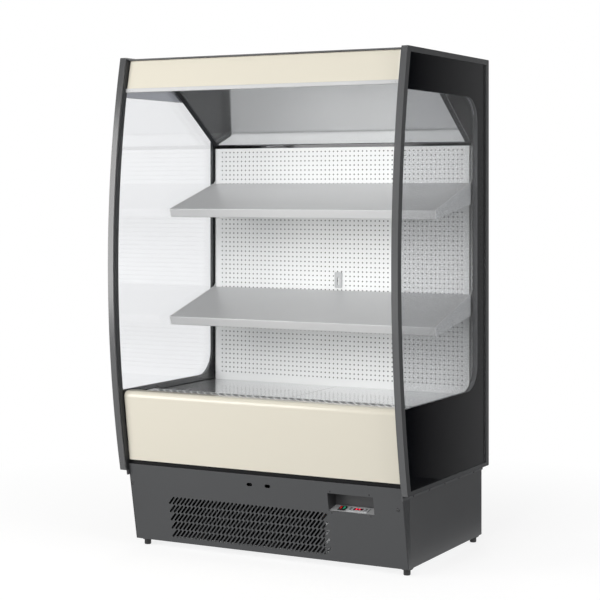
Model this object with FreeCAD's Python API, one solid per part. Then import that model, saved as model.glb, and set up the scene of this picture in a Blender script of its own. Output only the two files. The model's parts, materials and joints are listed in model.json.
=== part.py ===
import FreeCAD, Part
import math
import os

# Open multideck display fridge: a plug-in wall cabinet with an open front, two hanging shelves
# and a base deck, on a plinth that holds the condensing unit.
#
# Frame: millimetres. X runs to the right seen from the front, Y to the back, Z up. The origin is on
# the floor under the middle of the whole cabinet. Depths named *_depth or *_set are measured back
# from the chord, the upright line through the two front corners of a side frame.

V = FreeCAD.Vector

# ---------------------------------------------------------------- driving dimensions
# Whole cabinet
overall_width = 1126.0
side_bottom_z = 279.0
side_height = 1473.0
side_depth = 715.0
front_bow = 78.0

# Side frames: aluminium sections round a glazed side
side_thickness = 22.0
front_member = 28.0
top_rail = 19.0
back_member = 24.0
bottom_rail = 14.0
frame_corner = 4.0
side_strip = 4.0
strip_front_set = 6.0
strip_edge_set = 5.0
strip_drop = 17.0

# Side glazing: two panes with a black core whose window has round back corners
pane_thickness = 4.0
pane_recess = 1.5
pane_gap = 0.3
window_top_drop = 142.0
window_bottom_z = 566.0
window_back_set = 103.0
window_corner_radius = 90.0
window_front_band = 5.0

# Body
body_back_set = 4.0
rear_wall_thickness = 56.0
plinth_top_z = 302.0
tub_front_depth = 24.0
tub_wall = 40.0
tub_floor = 43.0
drain_radius = 13.0
pipe_hole_radius = 16.0
roof_slab_thickness = 44.0
roof_slab_depth = 60.0
roof_sheet = 1.5
roof_cover_drop = 5.0
roof_front_depth = 12.0

# Header and canopy
header_top_gap = 0.3
header_bottom_drop = 111.0
header_top_depth = 20.0
header_bottom_depth = -2.0
header_sheet = 1.5
header_end_radius = 9.0
header_top_radius = 3.5
trim_height = 14.0
trim_sheet = 2.0
trim_lip = 15.0
ceiling_drop = 102.0
canopy_run = 287.0
ceiling_front_depth = 14.0
canopy_sheet = 1.2
mirror_slope = 34.8
mirror_sheet = 1.5
mirror_skirt = 11.0
edge_strip_width = 20.0
edge_strip_thickness = 3.0
honeycomb_front_depth = 50.0
honeycomb_depth = 68.0
honeycomb_height = 15.0
honeycomb_cell = 28.0
honeycomb_wall = 3.0
lamp_depth = 30.0
lamp_end_set = 56.5
lamp_radius = 5.0
lamp_fitting_width = 26.0
lamp_fitting_height = 9.0
lamp_holder = 6.0

# Back panel and shelf uprights
duct_depth = 46.0
panel_sheet = 1.2
panel_half_width_gap = 11.5
panel_ledge = 20.0
upright_width = 10.0
upright_depth = 33.0
upright_wall = 2.0
upright_side_wall = 1.5
slot_spacing = 25.0
slot_height = 14.0
slot_width = 4.5
first_slot_rise = 12.0
probe_width = 29.0
probe_height = 59.0
probe_thickness = 6.0
probe_x = 5.0
probe_z = 943.0

# Shelves
shelf_depth = 333.0
shelf_tilt = 16.6
shelf_lip = 33.0
shelf_hem = 10.0
shelf_sheet = 1.5
shelf_side_flange = 20.0
shelf_back_gap = 5.0
shelf_below_pivot = 2.0
upper_shelf_head = 130.0
bracket_thickness = 3.0
bracket_heel = 75.0
bracket_glass_gap = 3.0
hook_height = 7.0
hook_length = 7.0
hook_thickness = 5.0

# Deck, grille and lower front
deck_top_z = 545.0
deck_sheet = 1.2
deck_flange = 7.0
deck_front_depth = 182.0
deck_side_gap = 1.0
deck_back_gap = 2.0
grille_rise = 7.0
grille_sheet = 1.5
grille_rows = 3
grille_hole_spacing = 20.6
grille_hole_width = 14.8
grille_hole_length = 31.0
grille_row_spacing = 36.0
grille_end_margin = 15.0
front_panel_bottom_z = 317.0
front_panel_top_z = 566.0
front_panel_bottom_depth = 14.0
front_panel_lean = 8.6
front_panel_nose = 20.0
front_panel_sheet = 1.5
front_panel_back_depth = 30.0
front_end_radius = 9.0
skin_end_gap = 0.5
seat_gap = 0.3

# Kick panel: bent sheet with slanted slots
kick_top_depth = 14.0
kick_bottom_depth = 67.0
kick_bottom_z = 26.0
kick_sheet = 1.5
kick_top_flange = 24.0
kick_bottom_flange = 8.0
kick_cheek_foot = 9.0
slot_rows = 5
kick_slot_spacing = 16.0
kick_row_spacing = 30.8
kick_slot_length = 36.0
kick_slot_width = 7.6
kick_slot_angle = 48.5
kick_slot_end_set = 168.0
kick_slot_recess_gap = 15.0
kick_slot_v = 123.6
oblong_x = -7.7
oblong_spacing = 71.0
oblong_width = 22.0
oblong_height = 12.0
oblong_v = 36.0

# Control recess and what it carries
recess_end_set = 194.4
recess_width = 170.0
recess_top_v = 39.5
recess_bottom_v = 101.0
recess_floor_length = 52.0
recess_floor_slope = 12.0
recess_sheet = 1.5
recess_flange = 14.0
thermostat_set = 12.8
thermostat_width = 76.0
thermostat_height = 34.0
thermostat_bezel = 2.6
thermostat_corner = 3.0
thermostat_body_width = 70.6
thermostat_body_height = 28.6
thermostat_body_depth = 52.0
display_width = 34.0
display_height = 15.0
display_depth = 1.2
key_width = 7.0
key_height = 6.0
key_stand = 0.9
key_depth = 1.8
key_row_spacing = 11.0
key_column_set = 28.5
key_gap = 0.3
rocker_set = 45.9
rocker_bezel_width = 26.0
rocker_bezel_length = 32.0
rocker_bezel = 2.0
rocker_body_depth = 24.0
rocker_body_width = 24.4
rocker_body_length = 29.0
rocker_floor = 4.0
rocker_width = 10.0
rocker_length = 25.0
rocker_gap = 0.3
rocker_end_gap = 1.1
rocker_partition = 1.0
rocker_tilt = 9.0
rocker_crown = 2.4
rocker_pin_drop = 5.0
rocker_pin_radius = 1.5
pin_clearance = 0.05
plate_hole_gap = 0.3

# Plinth
foot_height = 26.0
foot_stud_radius = 5.0
foot_cup_radius = 22.0
foot_cup_height = 7.0
foot_pad_radius = 12.0
foot_tip_radius = 10.5
foot_side_set = 23.5
foot_front_set = 26.0
foot_back_set = 26.0
foot_stud_length = 50.0
bush_radius = 11.0
bush_height = 10.0
pan_sheet = 1.5
pan_edge = 20.0
pan_front_gap = 2.0
plinth_sheet = 1.5
plinth_return = 12.0
post_width = 30.0
post_sheet = 2.0
rail_height = 30.0
rear_slot_rows = 9
rear_slot_length = 360.0
rear_slot_height = 9.0
rear_slot_spacing = 22.0
rear_slot_x = 230.0
rear_slot_low_z = 82.0

# Condensing unit
condenser_x = -80.0
condenser_width = 420.0
condenser_depth = 66.0
condenser_front_depth = 140.0
condenser_rise = 10.5
condenser_height = 226.0
condenser_fin_spacing = 20.0
condenser_fin_depth = 27.0
fan_radius = 96.0
fan_ring_gap = 5.0
fan_blades = 5
fan_blade_sheet = 2.0
fan_blade_chord = 62.0
fan_blade_angle = 27.0
fan_hub_radius = 26.0
fan_hub_length = 24.0
fan_motor_radius = 38.0
fan_motor_length = 60.0
fan_motor_gap = 3.0
fan_shaft_radius = 4.0
fan_shaft_clearance = 0.05
shroud_depth = 46.0
shroud_sheet = 1.5
motor_arm_width = 14.0
motor_arm_sheet = 3.0
compressor_x = -90.0
compressor_depth = 455.0
compressor_radius = 88.0
compressor_height = 190.0
compressor_dome = 46.0
compressor_base_width = 210.0
compressor_base_depth = 130.0
compressor_base_sheet = 3.0
compressor_cover_rise = 50.0
compressor_cover_height = 62.0
compressor_cover_half = 28.0
compressor_cover_stand = 32.0
grommet_height = 14.0
grommet_radius = 11.0
tray_end_set = 147.0
tray_depth = 470.0
tray_width = 220.0
tray_length = 320.0
tray_height = 44.0
tray_wall = 2.0
box_end_set = 207.0
box_width = 150.0
box_length = 120.0
box_height = 150.0
gland_radius = 11.0
gland_inside = 14.0
gland_hole_gap = 0.5

# Evaporator in the tub
coil_end_set = 117.0
coil_front_depth = 262.0
coil_depth = 270.0
coil_rise = 18.0
coil_height = 150.0
coil_fin_spacing = 30.0
coil_fin_depth = 120.0
coil_end_sheet = 2.0
coil_end_margin = 8.0
bend_rows = 3
bend_radius = 14.0
tube_radius = 5.0
evap_fan_end_set = 287.0
evap_fan_radius = 74.0
evap_hub_radius = 20.0
evap_hub_length = 16.0
evap_motor_radius = 27.0
evap_motor_length = 46.0
evap_shaft_radius = 3.0
evap_blade_chord = 50.0
fan_plate_sheet = 1.2
fan_plate_flange = 24.0
line_radius = 5.0
line_bend = 22.0
drain_wall_gap = 1.0
drain_tray_set = 40.0
suction_rise = 60.0
suction_back_set = 40.0
discharge_rise = 34.0
discharge_drop = 50.0
discharge_side_set = 60.0

# ---------------------------------------------------------------- derived places
overall_depth = side_depth + front_bow
chord_y = front_bow - overall_depth / 2
half_width = overall_width / 2
side_inner_x = half_width - side_thickness
body_half = side_inner_x - side_strip
skin_half = body_half - skin_end_gap
side_top_z = side_bottom_z + side_height
side_mid_z = side_bottom_z + side_height / 2
side_back_y = chord_y + side_depth
body_back_y = side_back_y - body_back_set
wall_front_y = body_back_y - rear_wall_thickness
bow_radius = ((side_height / 2) ** 2 + front_bow ** 2) / (2 * front_bow)
bow_centre_y = chord_y - front_bow + bow_radius

tub_front_y = chord_y + tub_front_depth
tub_floor_z = plinth_top_z + tub_floor
deck_seat_z = deck_top_z - deck_sheet - seat_gap
tub_top_z = deck_top_z - deck_flange - deck_sheet - seat_gap

roof_top_z = side_top_z - strip_edge_set
header_top_z = roof_top_z - roof_cover_drop - header_top_gap
header_bottom_z = side_top_z - header_bottom_drop
ceiling_z = side_top_z - ceiling_drop
lamp_length = 2 * (skin_half - lamp_end_set)
slab_top_z = roof_top_z - roof_sheet
slab_bottom_z = slab_top_z - roof_slab_thickness

mirror_angle = math.radians(mirror_slope)
panel_y = wall_front_y - duct_depth
mirror_top_y = panel_y - canopy_run
mirror_low_y = panel_y
mirror_low_z = ceiling_z - (mirror_low_y - mirror_top_y) * math.tan(mirror_angle)
mirror_skirt_z = mirror_low_z - mirror_skirt

upright_front_y = wall_front_y - upright_depth
upright_outer_x = side_inner_x - pane_gap
upright_inner_x = upright_outer_x - upright_width
bracket_outer_x = side_inner_x - bracket_glass_gap
bracket_inner_x = bracket_outer_x - bracket_thickness
panel_half = side_inner_x - panel_half_width_gap
first_slot_z = deck_top_z + first_slot_rise
upper_shelf_slot = int((mirror_skirt_z - upper_shelf_head - first_slot_z) / slot_spacing)
lower_shelf_slot = upper_shelf_slot // 2 - 1

deck_front_y = chord_y + deck_front_depth
deck_back_y = panel_y - deck_back_gap - seat_gap
grille_front_y = chord_y + front_panel_back_depth + seat_gap
grille_top_z = deck_top_z + grille_rise

kick_drop = plinth_top_z - kick_bottom_z
kick_run = kick_bottom_depth - kick_top_depth
kick_angle = math.degrees(math.atan2(kick_run, kick_drop))
kick_length = math.hypot(kick_run, kick_drop)
kick_top_y = chord_y + kick_top_depth
kick_side_depth = kick_bottom_depth + kick_cheek_foot
pan_front_depth = kick_side_depth + pan_front_gap
foot_front_depth = pan_front_depth + foot_front_set
recess_x = body_half - recess_end_set
thermostat_x = recess_x + thermostat_set
rocker_x = recess_x - rocker_set
kick_slot_x = kick_slot_end_set - body_half
slot_field = recess_x - recess_width / 2 - kick_slot_recess_gap - kick_slot_x
slot_columns = 1 + int(slot_field / kick_slot_spacing)

pan_top_z = foot_height + pan_sheet
shaft_bore_depth = 14.0
tray_x = tray_end_set - body_half
box_x = body_half - box_end_set
coil_half_width = body_half - coil_end_set
evap_fan_x = body_half - evap_fan_end_set
condenser_low_z = pan_top_z + condenser_rise


# ---------------------------------------------------------------- shape helpers
def box(x_low, x_high, y_low, y_high, z_low, z_high):
    return Part.makeBox(x_high - x_low, y_high - y_low, z_high - z_low, V(x_low, y_low, z_low))


def rod(start, direction, radius, length):
    return Part.makeCylinder(radius, length, start, direction)


def mirrored(shape):
    return shape.mirror(V(0, 0, 0), V(1, 0, 0))


def path_edges(corners, closed):
    """Edges through (point, radius) corners, each corner rounded by an arc tangent to its two runs."""
    count = len(corners)
    arrive = []
    leave = []
    crest = []
    for i, (point, radius) in enumerate(corners):
        inner = closed or 0 < i < count - 1
        if radius <= 0 or not inner:
            arrive.append(point)
            leave.append(point)
            crest.append(None)
            continue
        back = (corners[i - 1][0] - point).normalize()
        ahead = (corners[(i + 1) % count][0] - point).normalize()
        half = back.getAngle(ahead) / 2
        reach = radius / math.tan(half)
        centre = point + (back + ahead).normalize() * (radius / math.sin(half))
        arrive.append(point + back * reach)
        leave.append(point + ahead * reach)
        crest.append(centre + (point - centre).normalize() * radius)
    edges = []
    for i in range(count):
        if crest[i] is not None:
            edges.append(Part.Arc(arrive[i], crest[i], leave[i]).toShape())
        if closed or i < count - 1:
            edges.append(Part.makeLine(leave[i], arrive[(i + 1) % count]))
    return edges


def face_of(wires):
    """Flat face bounded by the first wire, with the other wires as holes."""
    return Part.makeFace(list(wires), "Part::FaceMakerBullseye")


def outline(corners, place):
    """Closed wire through (a, b) or (a, b, radius) corners, put in space by place(a, b)."""
    path = [(place(corner[0], corner[1]), corner[2] if len(corner) > 2 else 0.0) for corner in corners]
    return Part.Wire(path_edges(path, True))


def along_x(corners, x_low, x_high):
    face = Part.Face(outline(corners, lambda y, z: V(x_low, y, z)))
    return face.extrude(V(x_high - x_low, 0, 0))


def along_y(corners, y_low, y_high, holes=()):
    wires = [outline(loop, lambda x, z: V(x, y_low, z)) for loop in [corners] + list(holes)]
    return face_of(wires).extrude(V(0, y_high - y_low, 0))


def along_z(corners, z_low, z_high, holes=()):
    wires = [outline(loop, lambda x, y: V(x, y, z_low)) for loop in [corners] + list(holes)]
    return face_of(wires).extrude(V(0, 0, z_high - z_low))


def rectangle(a_low, a_high, b_low, b_high, radius=0.0):
    corners = [(a_low, b_low), (a_high, b_low), (a_high, b_high), (a_low, b_high)]
    return [(a, b, radius) for a, b in corners]


def bent_sheet(line, wall, bend):
    """Closed outline of a bent sheet: one skin follows line, the other lies one wall to its left."""
    runs = [V(b[0] - a[0], b[1] - a[1], 0).normalize() for a, b in zip(line, line[1:])]
    skin = []
    other = []
    for i, (a, b) in enumerate(line):
        before = runs[max(i - 1, 0)]
        after = runs[min(i, len(runs) - 1)]
        turn = before.x * after.y - before.y * after.x
        left = (V(-before.y, before.x, 0) + V(-after.y, after.x, 0)).normalize()
        reach = wall / (left.x * -after.y + left.y * after.x)
        own = 0.0
        far = 0.0
        if 0 < i < len(line) - 1 and bend > 0:
            own = bend + wall if turn > 0 else bend
            far = bend if turn > 0 else bend + wall
        skin.append((a, b, own))
        other.append((a + left.x * reach, b + left.y * reach, far))
    return skin + other[::-1]


def pipe(points, radius, bend):
    """Round bar along straight runs joined by tangent arcs."""
    path = Part.Wire(path_edges([(point, bend) for point in points], False))
    ring = Part.Wire(Part.makeCircle(radius, points[0], points[1] - points[0]))
    return path.makePipeShell([ring], True, False)


def turned(profile, axis_point, axis=V(0, 0, 1)):
    """Solid of revolution of an (radius, height) outline about an upright axis through axis_point."""
    face = Part.Face(outline(profile, lambda r, h: V(r, 0, h)))
    solid = face.revolve(V(0, 0, 0), V(0, 0, 1), 360)
    solid.Placement = FreeCAD.Placement(axis_point, FreeCAD.Rotation(V(0, 0, 1), axis))
    return solid


def end_edges(solid, x, y_limit):
    """Edges in the two end planes of a long solid, in front of y_limit."""
    chosen = []
    for edge in solid.Edges:
        box_of = edge.BoundBox
        flat = box_of.XMax - box_of.XMin < 0.01 and abs(abs(box_of.XMax) - x) < 0.01
        if flat and box_of.Center.y < y_limit and edge.Length > 1:
            chosen.append(edge)
    return chosen


def save(name, *solids):
    shape = solids[0] if len(solids) == 1 else Part.makeCompound(list(solids))
    if not shape.isValid() or not shape.Solids:
        raise ValueError(name + " is not a valid solid")
    shape.exportStep("parts/" + name + ".step")
    print(name, len(shape.Solids), "solid(s),", round(shape.Volume / 1000.0, 1), "cm3")


# ---------------------------------------------------------------- side frames and glazing
def bow_y(z, inset):
    """Y of the bowed front line at height z, inset square to the bow."""
    return bow_centre_y - math.sqrt((bow_radius - inset) ** 2 - (z - side_mid_z) ** 2)


def side_wire(x, front, top, back, bottom, back_round=0.0):
    """Side outline with a bowed front, inset from the frame's outer edges."""
    low_z = side_bottom_z + bottom
    high_z = side_top_z - top
    back_y = side_back_y - back
    low = V(x, bow_y(low_z, front), low_z)
    high = V(x, bow_y(high_z, front), high_z)
    middle = V(x, bow_y(side_mid_z, front), side_mid_z)
    bow = Part.Arc(low, middle, high).toShape()
    corners = [(high, 0), (V(x, back_y, high_z), back_round), (V(x, back_y, low_z), back_round), (low, 0)]
    return Part.Wire([bow] + path_edges(corners, False))


def side_slab(x_low, x_high, outer, inner=None):
    wires = [side_wire(x_low, *outer)]
    if inner:
        wires.append(side_wire(x_low, *inner))
    return face_of(wires).extrude(V(x_high - x_low, 0, 0))


def front_corner_edges(solid):
    """The two short edges where the bowed member meets the top and bottom rails."""
    chosen = []
    for edge in solid.Edges:
        middle = edge.BoundBox.Center
        along = edge.BoundBox.XLength > side_thickness / 2
        at_corner = abs(middle.y - chord_y) < 1
        if along and at_corner and (abs(middle.z - side_top_z) < 1 or abs(middle.z - side_bottom_z) < 1):
            chosen.append(edge)
    return chosen


def side_frame():
    outer = (0.0, 0.0, 0.0, 0.0, frame_corner)
    inner = (front_member, top_rail, back_member, bottom_rail)
    frame = side_slab(side_inner_x, half_width, outer, inner)
    return frame.makeFillet(frame_corner, front_corner_edges(frame))


pane_sets = (front_member + pane_gap, top_rail + pane_gap, back_member + pane_gap, bottom_rail + pane_gap)
outer_pane_x = half_width - pane_recess - pane_thickness
inner_pane_x = side_inner_x + pane_recess


def side_panes():
    outer = side_slab(outer_pane_x, outer_pane_x + pane_thickness, pane_sets)
    inner = side_slab(inner_pane_x, inner_pane_x + pane_thickness, pane_sets)
    return outer, inner


def side_core():
    window = (
        front_member + pane_gap + window_front_band,
        window_top_drop,
        window_back_set,
        window_bottom_z - side_bottom_z,
        window_corner_radius,
    )
    return side_slab(inner_pane_x + pane_thickness + pane_gap, outer_pane_x - pane_gap, pane_sets, window)


def side_strip_ring():
    outer = (strip_front_set, strip_edge_set, strip_edge_set, -strip_drop)
    inner = (front_member, top_rail, back_member, bottom_rail)
    return side_slab(body_half, side_inner_x, outer, inner)


def make_sides():
    frame = side_frame()
    panes = side_panes()
    core = side_core()
    strip = side_strip_ring()
    save("side_frame_right", frame)
    save("side_frame_left", mirrored(frame))
    save("side_panes_right", *panes)
    save("side_panes_left", *[mirrored(pane) for pane in panes])
    save("side_core_right", core)
    save("side_core_left", mirrored(core))
    save("side_strips", mirrored(strip), strip)


# ---------------------------------------------------------------- insulated body
pipe_hole_x = body_half - tub_wall - pipe_hole_radius * 1.6
pipe_hole_y = wall_front_y - pipe_hole_radius * 2.2
drain_y = chord_y + tray_depth - tray_length / 2 + drain_tray_set


def tub():
    shell = box(-body_half, body_half, tub_front_y, wall_front_y, plinth_top_z, tub_top_z)
    room = box(-body_half + tub_wall, body_half - tub_wall, tub_front_y + tub_wall, wall_front_y + 1,
               tub_floor_z, tub_top_z + 1)
    room = room.makeFillet(12.0, [edge for edge in room.Edges if edge.BoundBox.ZLength > tub_floor])
    shell = shell.cut(room)
    shell = shell.cut(rod(V(tray_x, drain_y, plinth_top_z - 1), V(0, 0, 1), drain_radius, tub_floor + 2))
    hole = rod(V(pipe_hole_x, pipe_hole_y, plinth_top_z - 1), V(0, 0, 1), pipe_hole_radius, tub_floor + 2)
    return shell.cut(hole)


def roof_cover():
    """Thin top plate, folded down at the front and over the back."""
    front = chord_y + roof_front_depth
    back = body_back_y + roof_sheet + seat_gap
    line = [(front, roof_top_z - roof_cover_drop), (front, roof_top_z), (back, roof_top_z),
            (back, roof_top_z - roof_cover_drop * 3)]
    return along_x(bent_sheet(line[::-1], roof_sheet, seat_gap), -skin_half, skin_half)


def make_body():
    save("insulated_tub", tub())
    save("rear_wall", box(-body_half, body_half, wall_front_y, body_back_y, plinth_top_z, slab_bottom_z))
    roof = box(-body_half, body_half, chord_y + roof_slab_depth, body_back_y, slab_bottom_z, slab_top_z)
    save("roof_slab", roof)
    save("roof_cover", roof_cover())


# ---------------------------------------------------------------- header and canopy
def hollow_skin(outer, inner, wall, end_radius, y_limit):
    """Folded skin with round ends: the outer form less the inner one, open wherever inner runs out."""
    body = along_x(outer, -skin_half, skin_half)
    body = body.makeFillet(end_radius, end_edges(body, skin_half, y_limit))
    core = along_x(inner, -skin_half + wall, skin_half - wall)
    core = core.makeFillet(end_radius - wall, end_edges(core, skin_half - wall, y_limit))
    return body, core


def ease_top(solid, z, radius, y_limit):
    """Round the front top edge of a skin, all along it and round its ends."""
    chosen = []
    for edge in solid.Edges:
        if edge.BoundBox.ZLength < 0.01 and abs(edge.BoundBox.ZMax - z) < 0.01:
            if edge.BoundBox.Center.y < y_limit:
                chosen.append(edge)
    return solid.makeFillet(radius, chosen)


def header_panel():
    top = header_top_z
    low = header_bottom_z
    wall = header_sheet
    top_y = chord_y + header_top_depth
    low_y = chord_y + header_bottom_depth
    back_y = chord_y + roof_slab_depth
    lean = (top_y - low_y) / (top - low)
    skew = wall * math.hypot(1, lean)
    outer = [(low_y, low), (top_y, top), (back_y, top), (back_y, low)]
    inner = [
        (low_y + wall * lean + skew, low + wall),
        (top_y - wall * lean + skew, top - wall),
        (back_y + wall, top - wall),
        (back_y + wall, low + wall),
    ]
    middle = (low_y + top_y) / 2
    body, core = hollow_skin(outer, inner, wall, header_end_radius, middle + 3)
    body = ease_top(body, top, header_top_radius, top_y + 2)
    core = ease_top(core, top - wall, header_top_radius - wall, top_y + 2)
    skin = body.cut(core)
    lip_end = chord_y + ceiling_front_depth - canopy_sheet - seat_gap
    mouth = box(-skin_half + wall, skin_half - wall, lip_end, back_y + 1, low - 1, low + wall + 1)
    return skin.cut(mouth)


def header_trim():
    """Aluminium strip under the header with a short lip turned back."""
    front = chord_y + header_bottom_depth - 1.0
    top = header_bottom_z - header_top_gap
    low = top - trim_height
    back = front + trim_lip
    line = [(back, low + trim_sheet * 2.5), (back, low), (front, low), (front, top)]
    return along_x(bent_sheet(line[::-1], trim_sheet, 0.6), -skin_half, skin_half)


def canopy_ceiling():
    front = chord_y + ceiling_front_depth
    drop_z = header_bottom_z - trim_height + trim_sheet * 2.5
    line = [(mirror_top_y, ceiling_z), (front, ceiling_z), (front, drop_z)]
    half = skin_half - header_sheet - seat_gap
    sheet = along_x(bent_sheet(line[::-1], canopy_sheet, 0.5), -half, half)
    y_low = chord_y + honeycomb_front_depth
    hole_half = lamp_length / 2
    hole = box(-hole_half, hole_half, y_low, y_low + honeycomb_depth, ceiling_z - 5, ceiling_z + 5)
    return sheet.cut(hole)


def air_honeycomb():
    """Row of deep cells that straightens the falling air curtain."""
    y_low = chord_y + honeycomb_front_depth + seat_gap
    y_high = y_low + honeycomb_depth - 2 * seat_gap
    half = lamp_length / 2 - seat_gap
    count = int((2 * half - honeycomb_wall) / honeycomb_cell)
    pitch = (2 * half - honeycomb_wall) / count
    cells = []
    for i in range(count):
        x_low = -half + honeycomb_wall + i * pitch
        x_high = x_low + pitch - honeycomb_wall
        cells.append(rectangle(x_low, x_high, y_low + honeycomb_wall, y_high - honeycomb_wall))
    return along_z(rectangle(-half, half, y_low, y_high), ceiling_z, ceiling_z + honeycomb_height, cells)


def slope_point(run, drop):
    """Point on the mirror's skin, run along the slope from its top edge and drop below the skin."""
    y = mirror_top_y + run * math.cos(mirror_angle) - drop * math.sin(mirror_angle)
    z = ceiling_z - run * math.sin(mirror_angle) - drop * math.cos(mirror_angle)
    return y, z


def canopy_mirror():
    """Polished panel that slopes from the ceiling down to the back panel, with a short upright skirt."""
    top = slope_point(seat_gap * 1.5, 0)
    line = [top, (mirror_low_y, mirror_low_z), (mirror_low_y, mirror_skirt_z)]
    return along_x(bent_sheet(line, mirror_sheet, 1.0), -skin_half, skin_half)


def canopy_edge_strip():
    run = (mirror_low_y - mirror_top_y) / math.cos(mirror_angle)
    corners = [
        slope_point(4, 0),
        slope_point(run - 3, 0),
        slope_point(run - 3, edge_strip_thickness),
        slope_point(4, edge_strip_thickness),
    ]
    return along_x(corners, skin_half - edge_strip_width, skin_half)


def lamp_fitting():
    y = chord_y + lamp_depth
    half_w = lamp_fitting_width / 2
    low = ceiling_z - lamp_fitting_height
    half = lamp_length / 2
    corners = [(y - half_w, ceiling_z), (y - half_w + 4, low), (y + half_w - 4, low), (y + half_w, ceiling_z)]
    channel = along_x(corners, -half, half)
    holder = [(y - 7, low), (y - 7, low - 10, 3), (y + 7, low - 10, 3), (y + 7, low)]
    right = along_x(holder, half - lamp_holder, half)
    return channel.fuse([right, mirrored(right)]).removeSplitter()


def lamp_tube():
    half = lamp_length / 2 - lamp_holder
    z = ceiling_z - lamp_fitting_height - lamp_radius
    return rod(V(-half, chord_y + lamp_depth, z), V(1, 0, 0), lamp_radius, 2 * half)


def make_header_and_canopy():
    save("header_panel", header_panel())
    save("header_trim", header_trim())
    save("canopy_ceiling", canopy_ceiling())
    save("air_honeycomb", air_honeycomb())
    save("canopy_mirror", canopy_mirror())
    strip = canopy_edge_strip()
    save("canopy_edge_strips", mirrored(strip), strip)
    save("lamp_fitting", lamp_fitting())
    save("lamp_tube", lamp_tube())


# ---------------------------------------------------------------- back panel and uprights
def back_panel():
    """Duct panel with side returns to the rear wall and a ledge that carries the deck pans."""
    low = deck_seat_z - panel_sheet
    high = mirror_skirt_z - seat_gap
    half = panel_half
    wall = panel_sheet
    plan = [(-half, wall_front_y), (-half, panel_y), (half, panel_y), (half, wall_front_y)]
    sheet = along_z(bent_sheet(plan, wall, 0.0), low, high)
    ledge = box(-half, half, panel_y - panel_ledge, panel_y, low, low + wall)
    return sheet.fuse(ledge).removeSplitter()


def upright():
    """Box upright whose front wall has a row of hook slots."""
    low = deck_top_z + 1
    high = mirror_skirt_z - seat_gap
    front = upright_front_y
    slots = []
    z = first_slot_z
    centre = bracket_inner_x + bracket_thickness / 2
    while z + slot_height + upright_wall < high:
        slots.append(rectangle(centre - slot_width / 2, centre + slot_width / 2, z, z + slot_height))
        z += slot_spacing
    face = along_y(rectangle(upright_inner_x, upright_outer_x, low, high), front, front + upright_wall, slots)
    channel = box(upright_inner_x, upright_outer_x, front + upright_wall, wall_front_y, low, high)
    room = box(upright_inner_x + upright_side_wall, upright_outer_x - upright_side_wall,
               front + upright_wall, wall_front_y - upright_side_wall, low - 1, high + 1)
    return face.fuse(channel.cut(room)).removeSplitter()


def probe_clip():
    half = probe_width / 2
    outer = rectangle(probe_x - half, probe_x + half, probe_z - probe_height / 2,
                      probe_z + probe_height / 2, 5.0)
    slot = rectangle(probe_x - half / 3, probe_x + half / 3, probe_z - probe_height / 3,
                     probe_z + probe_height / 6, half / 4)
    return along_y(outer, panel_y - probe_thickness, panel_y, [slot])


def make_back():
    save("back_panel", back_panel())
    post = upright()
    save("shelf_uprights", mirrored(post), post)
    save("probe_clip", probe_clip())


# ---------------------------------------------------------------- shelves
tilt = math.radians(shelf_tilt)
pivot_y = upright_front_y + upright_wall
shelf_half = bracket_inner_x - seat_gap


def shelf_corner(pivot_z, run, drop):
    """Point on the shelf, run forward along the plate from its back edge and drop square below it."""
    back_y = panel_y - shelf_back_gap
    back_z = pivot_z - shelf_below_pivot
    y = back_y - run * math.cos(tilt) + drop * math.sin(tilt)
    z = back_z - run * math.sin(tilt) - drop * math.cos(tilt)
    return y, z


def shelf_plate(pivot_z):
    """Sloping shelf folded from one sheet: back flange, plate, front lip with a hem, end flanges."""
    line = [
        shelf_corner(pivot_z, 0, shelf_hem),
        shelf_corner(pivot_z, 0, 0),
        shelf_corner(pivot_z, shelf_depth, 0),
        shelf_corner(pivot_z, shelf_depth, shelf_lip),
        shelf_corner(pivot_z, shelf_depth - shelf_hem, shelf_lip),
    ]
    sheet = along_x(bent_sheet(line, shelf_sheet, 1.5), -shelf_half, shelf_half)
    flange = [
        shelf_corner(pivot_z, shelf_hem, shelf_sheet),
        shelf_corner(pivot_z, shelf_depth - shelf_hem, shelf_sheet),
        shelf_corner(pivot_z, shelf_depth - shelf_hem, shelf_side_flange),
        shelf_corner(pivot_z, shelf_hem, shelf_side_flange),
    ]
    right = along_x(flange, shelf_half - shelf_sheet, shelf_half)
    return sheet.fuse([right, mirrored(right)]).removeSplitter()


def shelf_bracket(pivot_z):
    """Tapering end bracket whose hook goes through an upright slot; its heel rests on the upright."""
    heel_y = upright_front_y - seat_gap
    swing = math.tan(tilt) * hook_length
    corners = [
        shelf_corner(pivot_z, shelf_depth, 0),
        shelf_corner(pivot_z, 0, 0),
        (panel_y + hook_thickness, pivot_z + hook_height),
        (pivot_y + seat_gap + swing + hook_thickness, pivot_z + hook_height),
        (pivot_y + seat_gap + swing + hook_thickness, pivot_z - hook_length),
        (pivot_y + seat_gap * 2 + swing, pivot_z - hook_length),
        (pivot_y + seat_gap, pivot_z + seat_gap),
        (heel_y, pivot_z + seat_gap),
        (heel_y, pivot_z - bracket_heel),
        shelf_corner(pivot_z, shelf_depth, shelf_lip),
    ]
    return along_x(corners, bracket_inner_x, bracket_outer_x)


def make_shelves():
    for name, slot in (("upper_shelf", upper_shelf_slot), ("lower_shelf", lower_shelf_slot)):
        pivot_z = first_slot_z + slot * slot_spacing
        bracket = shelf_bracket(pivot_z)
        save(name, shelf_plate(pivot_z))
        save(name + "_brackets", mirrored(bracket), bracket)
        print(name, "pivot", round(pivot_y, 2), round(pivot_z, 2))


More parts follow.
